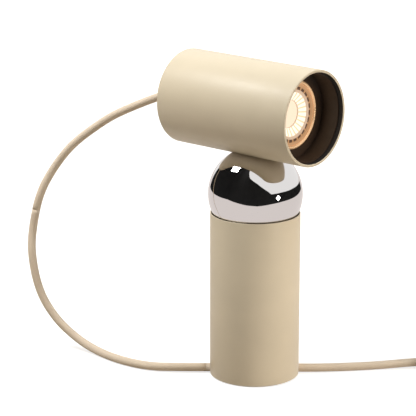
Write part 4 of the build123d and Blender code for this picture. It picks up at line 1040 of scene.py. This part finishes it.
class LAMP_OT_stage(bpy.types.Operator):
    """Floor, soft studio light and the dark side of the studio"""

    bl_idname = "lamp.stage"
    bl_label = "Stage"

    def execute(self, context):
        context.scene.view_settings.view_transform = "Standard"
        self.make_world(context)
        self.make_floor(context)
        self.make_dark_cards()
        self.make_lights(context)
        return {"FINISHED"}

    @staticmethod
    def off_a_surface(owner, rays):
        """1 for a ray that a mirror threw back or a clear piece let through, else 0."""
        return add_node(
            owner, "ShaderNodeMath",
            {0: rays.outputs["Is Glossy Ray"], 1: rays.outputs["Is Transmission Ray"]}, operation="MAXIMUM",
        ).outputs[0]

    def make_world(self, context):
        """White to look at, softer as a light."""
        world = bpy.data.worlds.new("pale_studio")
        world.use_nodes = True
        world.node_tree.nodes.clear()
        rays = add_node(world, "ShaderNodeLightPath")
        seen = add_node(
            world, "ShaderNodeMath", {0: rays.outputs["Is Camera Ray"], 1: self.off_a_surface(world, rays)},
            operation="MAXIMUM",
        )
        light = add_node(world, "ShaderNodeBackground", {"Color": WORLD_TONE, "Strength": WORLD_LIGHT})
        white = add_node(world, "ShaderNodeBackground", {"Color": WHITE, "Strength": 1.0})
        mix = add_node(world, "ShaderNodeMixShader", {
            0: seen.outputs[0], 1: light.outputs[0], 2: white.outputs[0],
        })
        add_node(world, "ShaderNodeOutputWorld", {"Surface": mix.outputs[0]})
        context.scene.world = world

    def make_floor(self, context):
        """Pale floor that looks white and keeps the lamp's shadow."""
        clear_selection()
        bpy.ops.mesh.primitive_plane_add(size=14, location=(0, 0, 0))
        floor = context.object
        floor.name = "floor"
        finish = new_finish("floor_pale", FLOOR_PALE, 0.9)
        rays = add_node(finish, "ShaderNodeLightPath")
        spot = add_node(finish, "ShaderNodeTexCoord")
        away = add_node(finish, "ShaderNodeVectorMath", {0: spot.outputs["Object"]}, operation="LENGTH")
        shine = add_node(finish, "ShaderNodeMapRange", {
            "Value": away.outputs["Value"], "From Min": FLOOR_NEAR, "From Max": FLOOR_FAR,
            "To Min": FLOOR_SHINE, "To Max": 1.0,
        })
        level = add_node(
            finish, "ShaderNodeMath", {0: rays.outputs["Is Camera Ray"], 1: shine.outputs["Result"]},
            operation="MULTIPLY",
        )
        shader = shader_of(finish)
        shader.inputs["Emission Color"].default_value = WHITE
        links = finish.node_tree.links
        links.new(level.outputs[0], shader.inputs["Emission Strength"])
        mirrored = add_node(finish, "ShaderNodeEmission", {"Color": MIRRORED_FLOOR, "Strength": 1.0})
        either = add_node(finish, "ShaderNodeMixShader", {
            0: self.off_a_surface(finish, rays), 1: shader.outputs[0], 2: mirrored.outputs[0],
        })
        links.new(either.outputs[0], finish.node_tree.nodes["Material Output"].inputs["Surface"])
        floor.data.materials.append(finish)

    def make_dark_cards(self):
        """Dark cards that stand on the floor on the camera's side, seen only in what is polished."""
        finish = new_finish("dark_card", CARD_BLACK, 1.0)
        for name, profile in CARDS.items():
            clear_selection()
            bpy.ops.mesh.primitive_grid_add(x_subdivisions=64, y_subdivisions=24, size=2)
            card = bpy.context.object
            card.name = name
            first, last = profile[0][0], profile[-1][0]
            for vertex in card.data.vertices:
                azimuth = first + (last - first) * (vertex.co.x + 1) / 2
                index = max(i for i, row in enumerate(profile[:-1]) if row[0] <= azimuth + TINY)
                (start, *heights), (end, *next_heights) = profile[index], profile[index + 1]
                part = (azimuth - start) / (end - start)
                low, high = (radians(a + (b - a) * part) for a, b in zip(heights, next_heights))
                height = low + (high - low) * (vertex.co.y + 1) / 2
                reach = ball_centre.z / sin(-low)
                vertex.co = ball_centre + reach * toward(azimuth, height)
            card.data.materials.append(finish)
            for rays in ("camera", "diffuse", "shadow", "transmission"):
                setattr(card, f"visible_{rays}", False)

    def make_lights(self, context):
        """Softboxes at the left, overhead and at the right, and the two that the ball mirrors as glints."""
        for name, azimuth, elevation, distance, wide, tall, roll, power, tone, mirrored in LIGHTS:
            clear_selection()
            way = toward(azimuth, radians(elevation))
            bpy.ops.object.light_add(type="AREA", location=ball_centre + distance * way)
            lamp = context.object
            lamp.name = name
            facing = way.to_track_quat("Z", "Y") @ Quaternion((0, 0, 1), radians(roll))
            lamp.rotation_euler = facing.to_euler()
            lamp.data.shape = "RECTANGLE"
            lamp.data.size = wide
            lamp.data.size_y = tall
            lamp.data.energy = power
            lamp.data.color = tone
            lamp.visible_camera = False
            lamp.visible_glossy = mirrored


def toward(azimuth, elevation):
    """Direction at so many degrees from -Y towards +X, and at an elevation in radians above the ball."""
    turn = radians(azimuth)
    return Vector((sin(turn) * cos(elevation), -cos(turn) * cos(elevation), sin(elevation)))


class LAMP_PT_panel(bpy.types.Panel):
    """The lamp's pieces and finishes"""

    bl_label = "Searchlight Lamp"
    bl_idname = "LAMP_PT_panel"
    bl_space_type = "VIEW_3D"
    bl_region_type = "UI"
    bl_category = "Lamp"

    def draw(self, context):
        for group in (context.scene.lamp_sizes, context.scene.lamp_colours):
            box = self.layout.box()
            for key in group.bl_rna.properties.keys():
                if key not in ("rna_type", "name"):
                    box.prop(group, key)
        for operator in OPERATORS:
            self.layout.operator(operator.bl_idname)


OPERATORS = (
    LAMP_OT_camera,
    LAMP_OT_flex,
    LAMP_OT_tubes,
    LAMP_OT_ball,
    LAMP_OT_bulb,
    LAMP_OT_sleeve,
    LAMP_OT_rear,
    LAMP_OT_foot,
    LAMP_OT_mechanism,
    LAMP_OT_switch_and_plug,
    LAMP_OT_tie,
    LAMP_OT_stage,
)
CLASSES = (LampSizes, LampColours, *OPERATORS, LAMP_PT_panel)


def register():
    for made in CLASSES:
        bpy.utils.register_class(made)
    bpy.types.Scene.lamp_sizes = PointerProperty(type=LampSizes)
    bpy.types.Scene.lamp_colours = PointerProperty(type=LampColours)


def unregister():
    del bpy.types.Scene.lamp_colours
    del bpy.types.Scene.lamp_sizes
    for made in reversed(CLASSES):
        bpy.utils.unregister_class(made)


def main():
    """Make every piece in order."""
    register()
    bpy.ops.lamp.camera()
    bpy.ops.lamp.flex()
    bpy.ops.lamp.tubes()
    bpy.ops.lamp.ball()
    bpy.ops.lamp.bulb()
    bpy.ops.lamp.sleeve()
    bpy.ops.lamp.rear()
    bpy.ops.lamp.foot()
    bpy.ops.lamp.mechanism()
    bpy.ops.lamp.switch_and_plug()
    bpy.ops.lamp.tie()
    bpy.ops.lamp.stage()
    clear_selection()


if __name__ == "__main__":
    main()
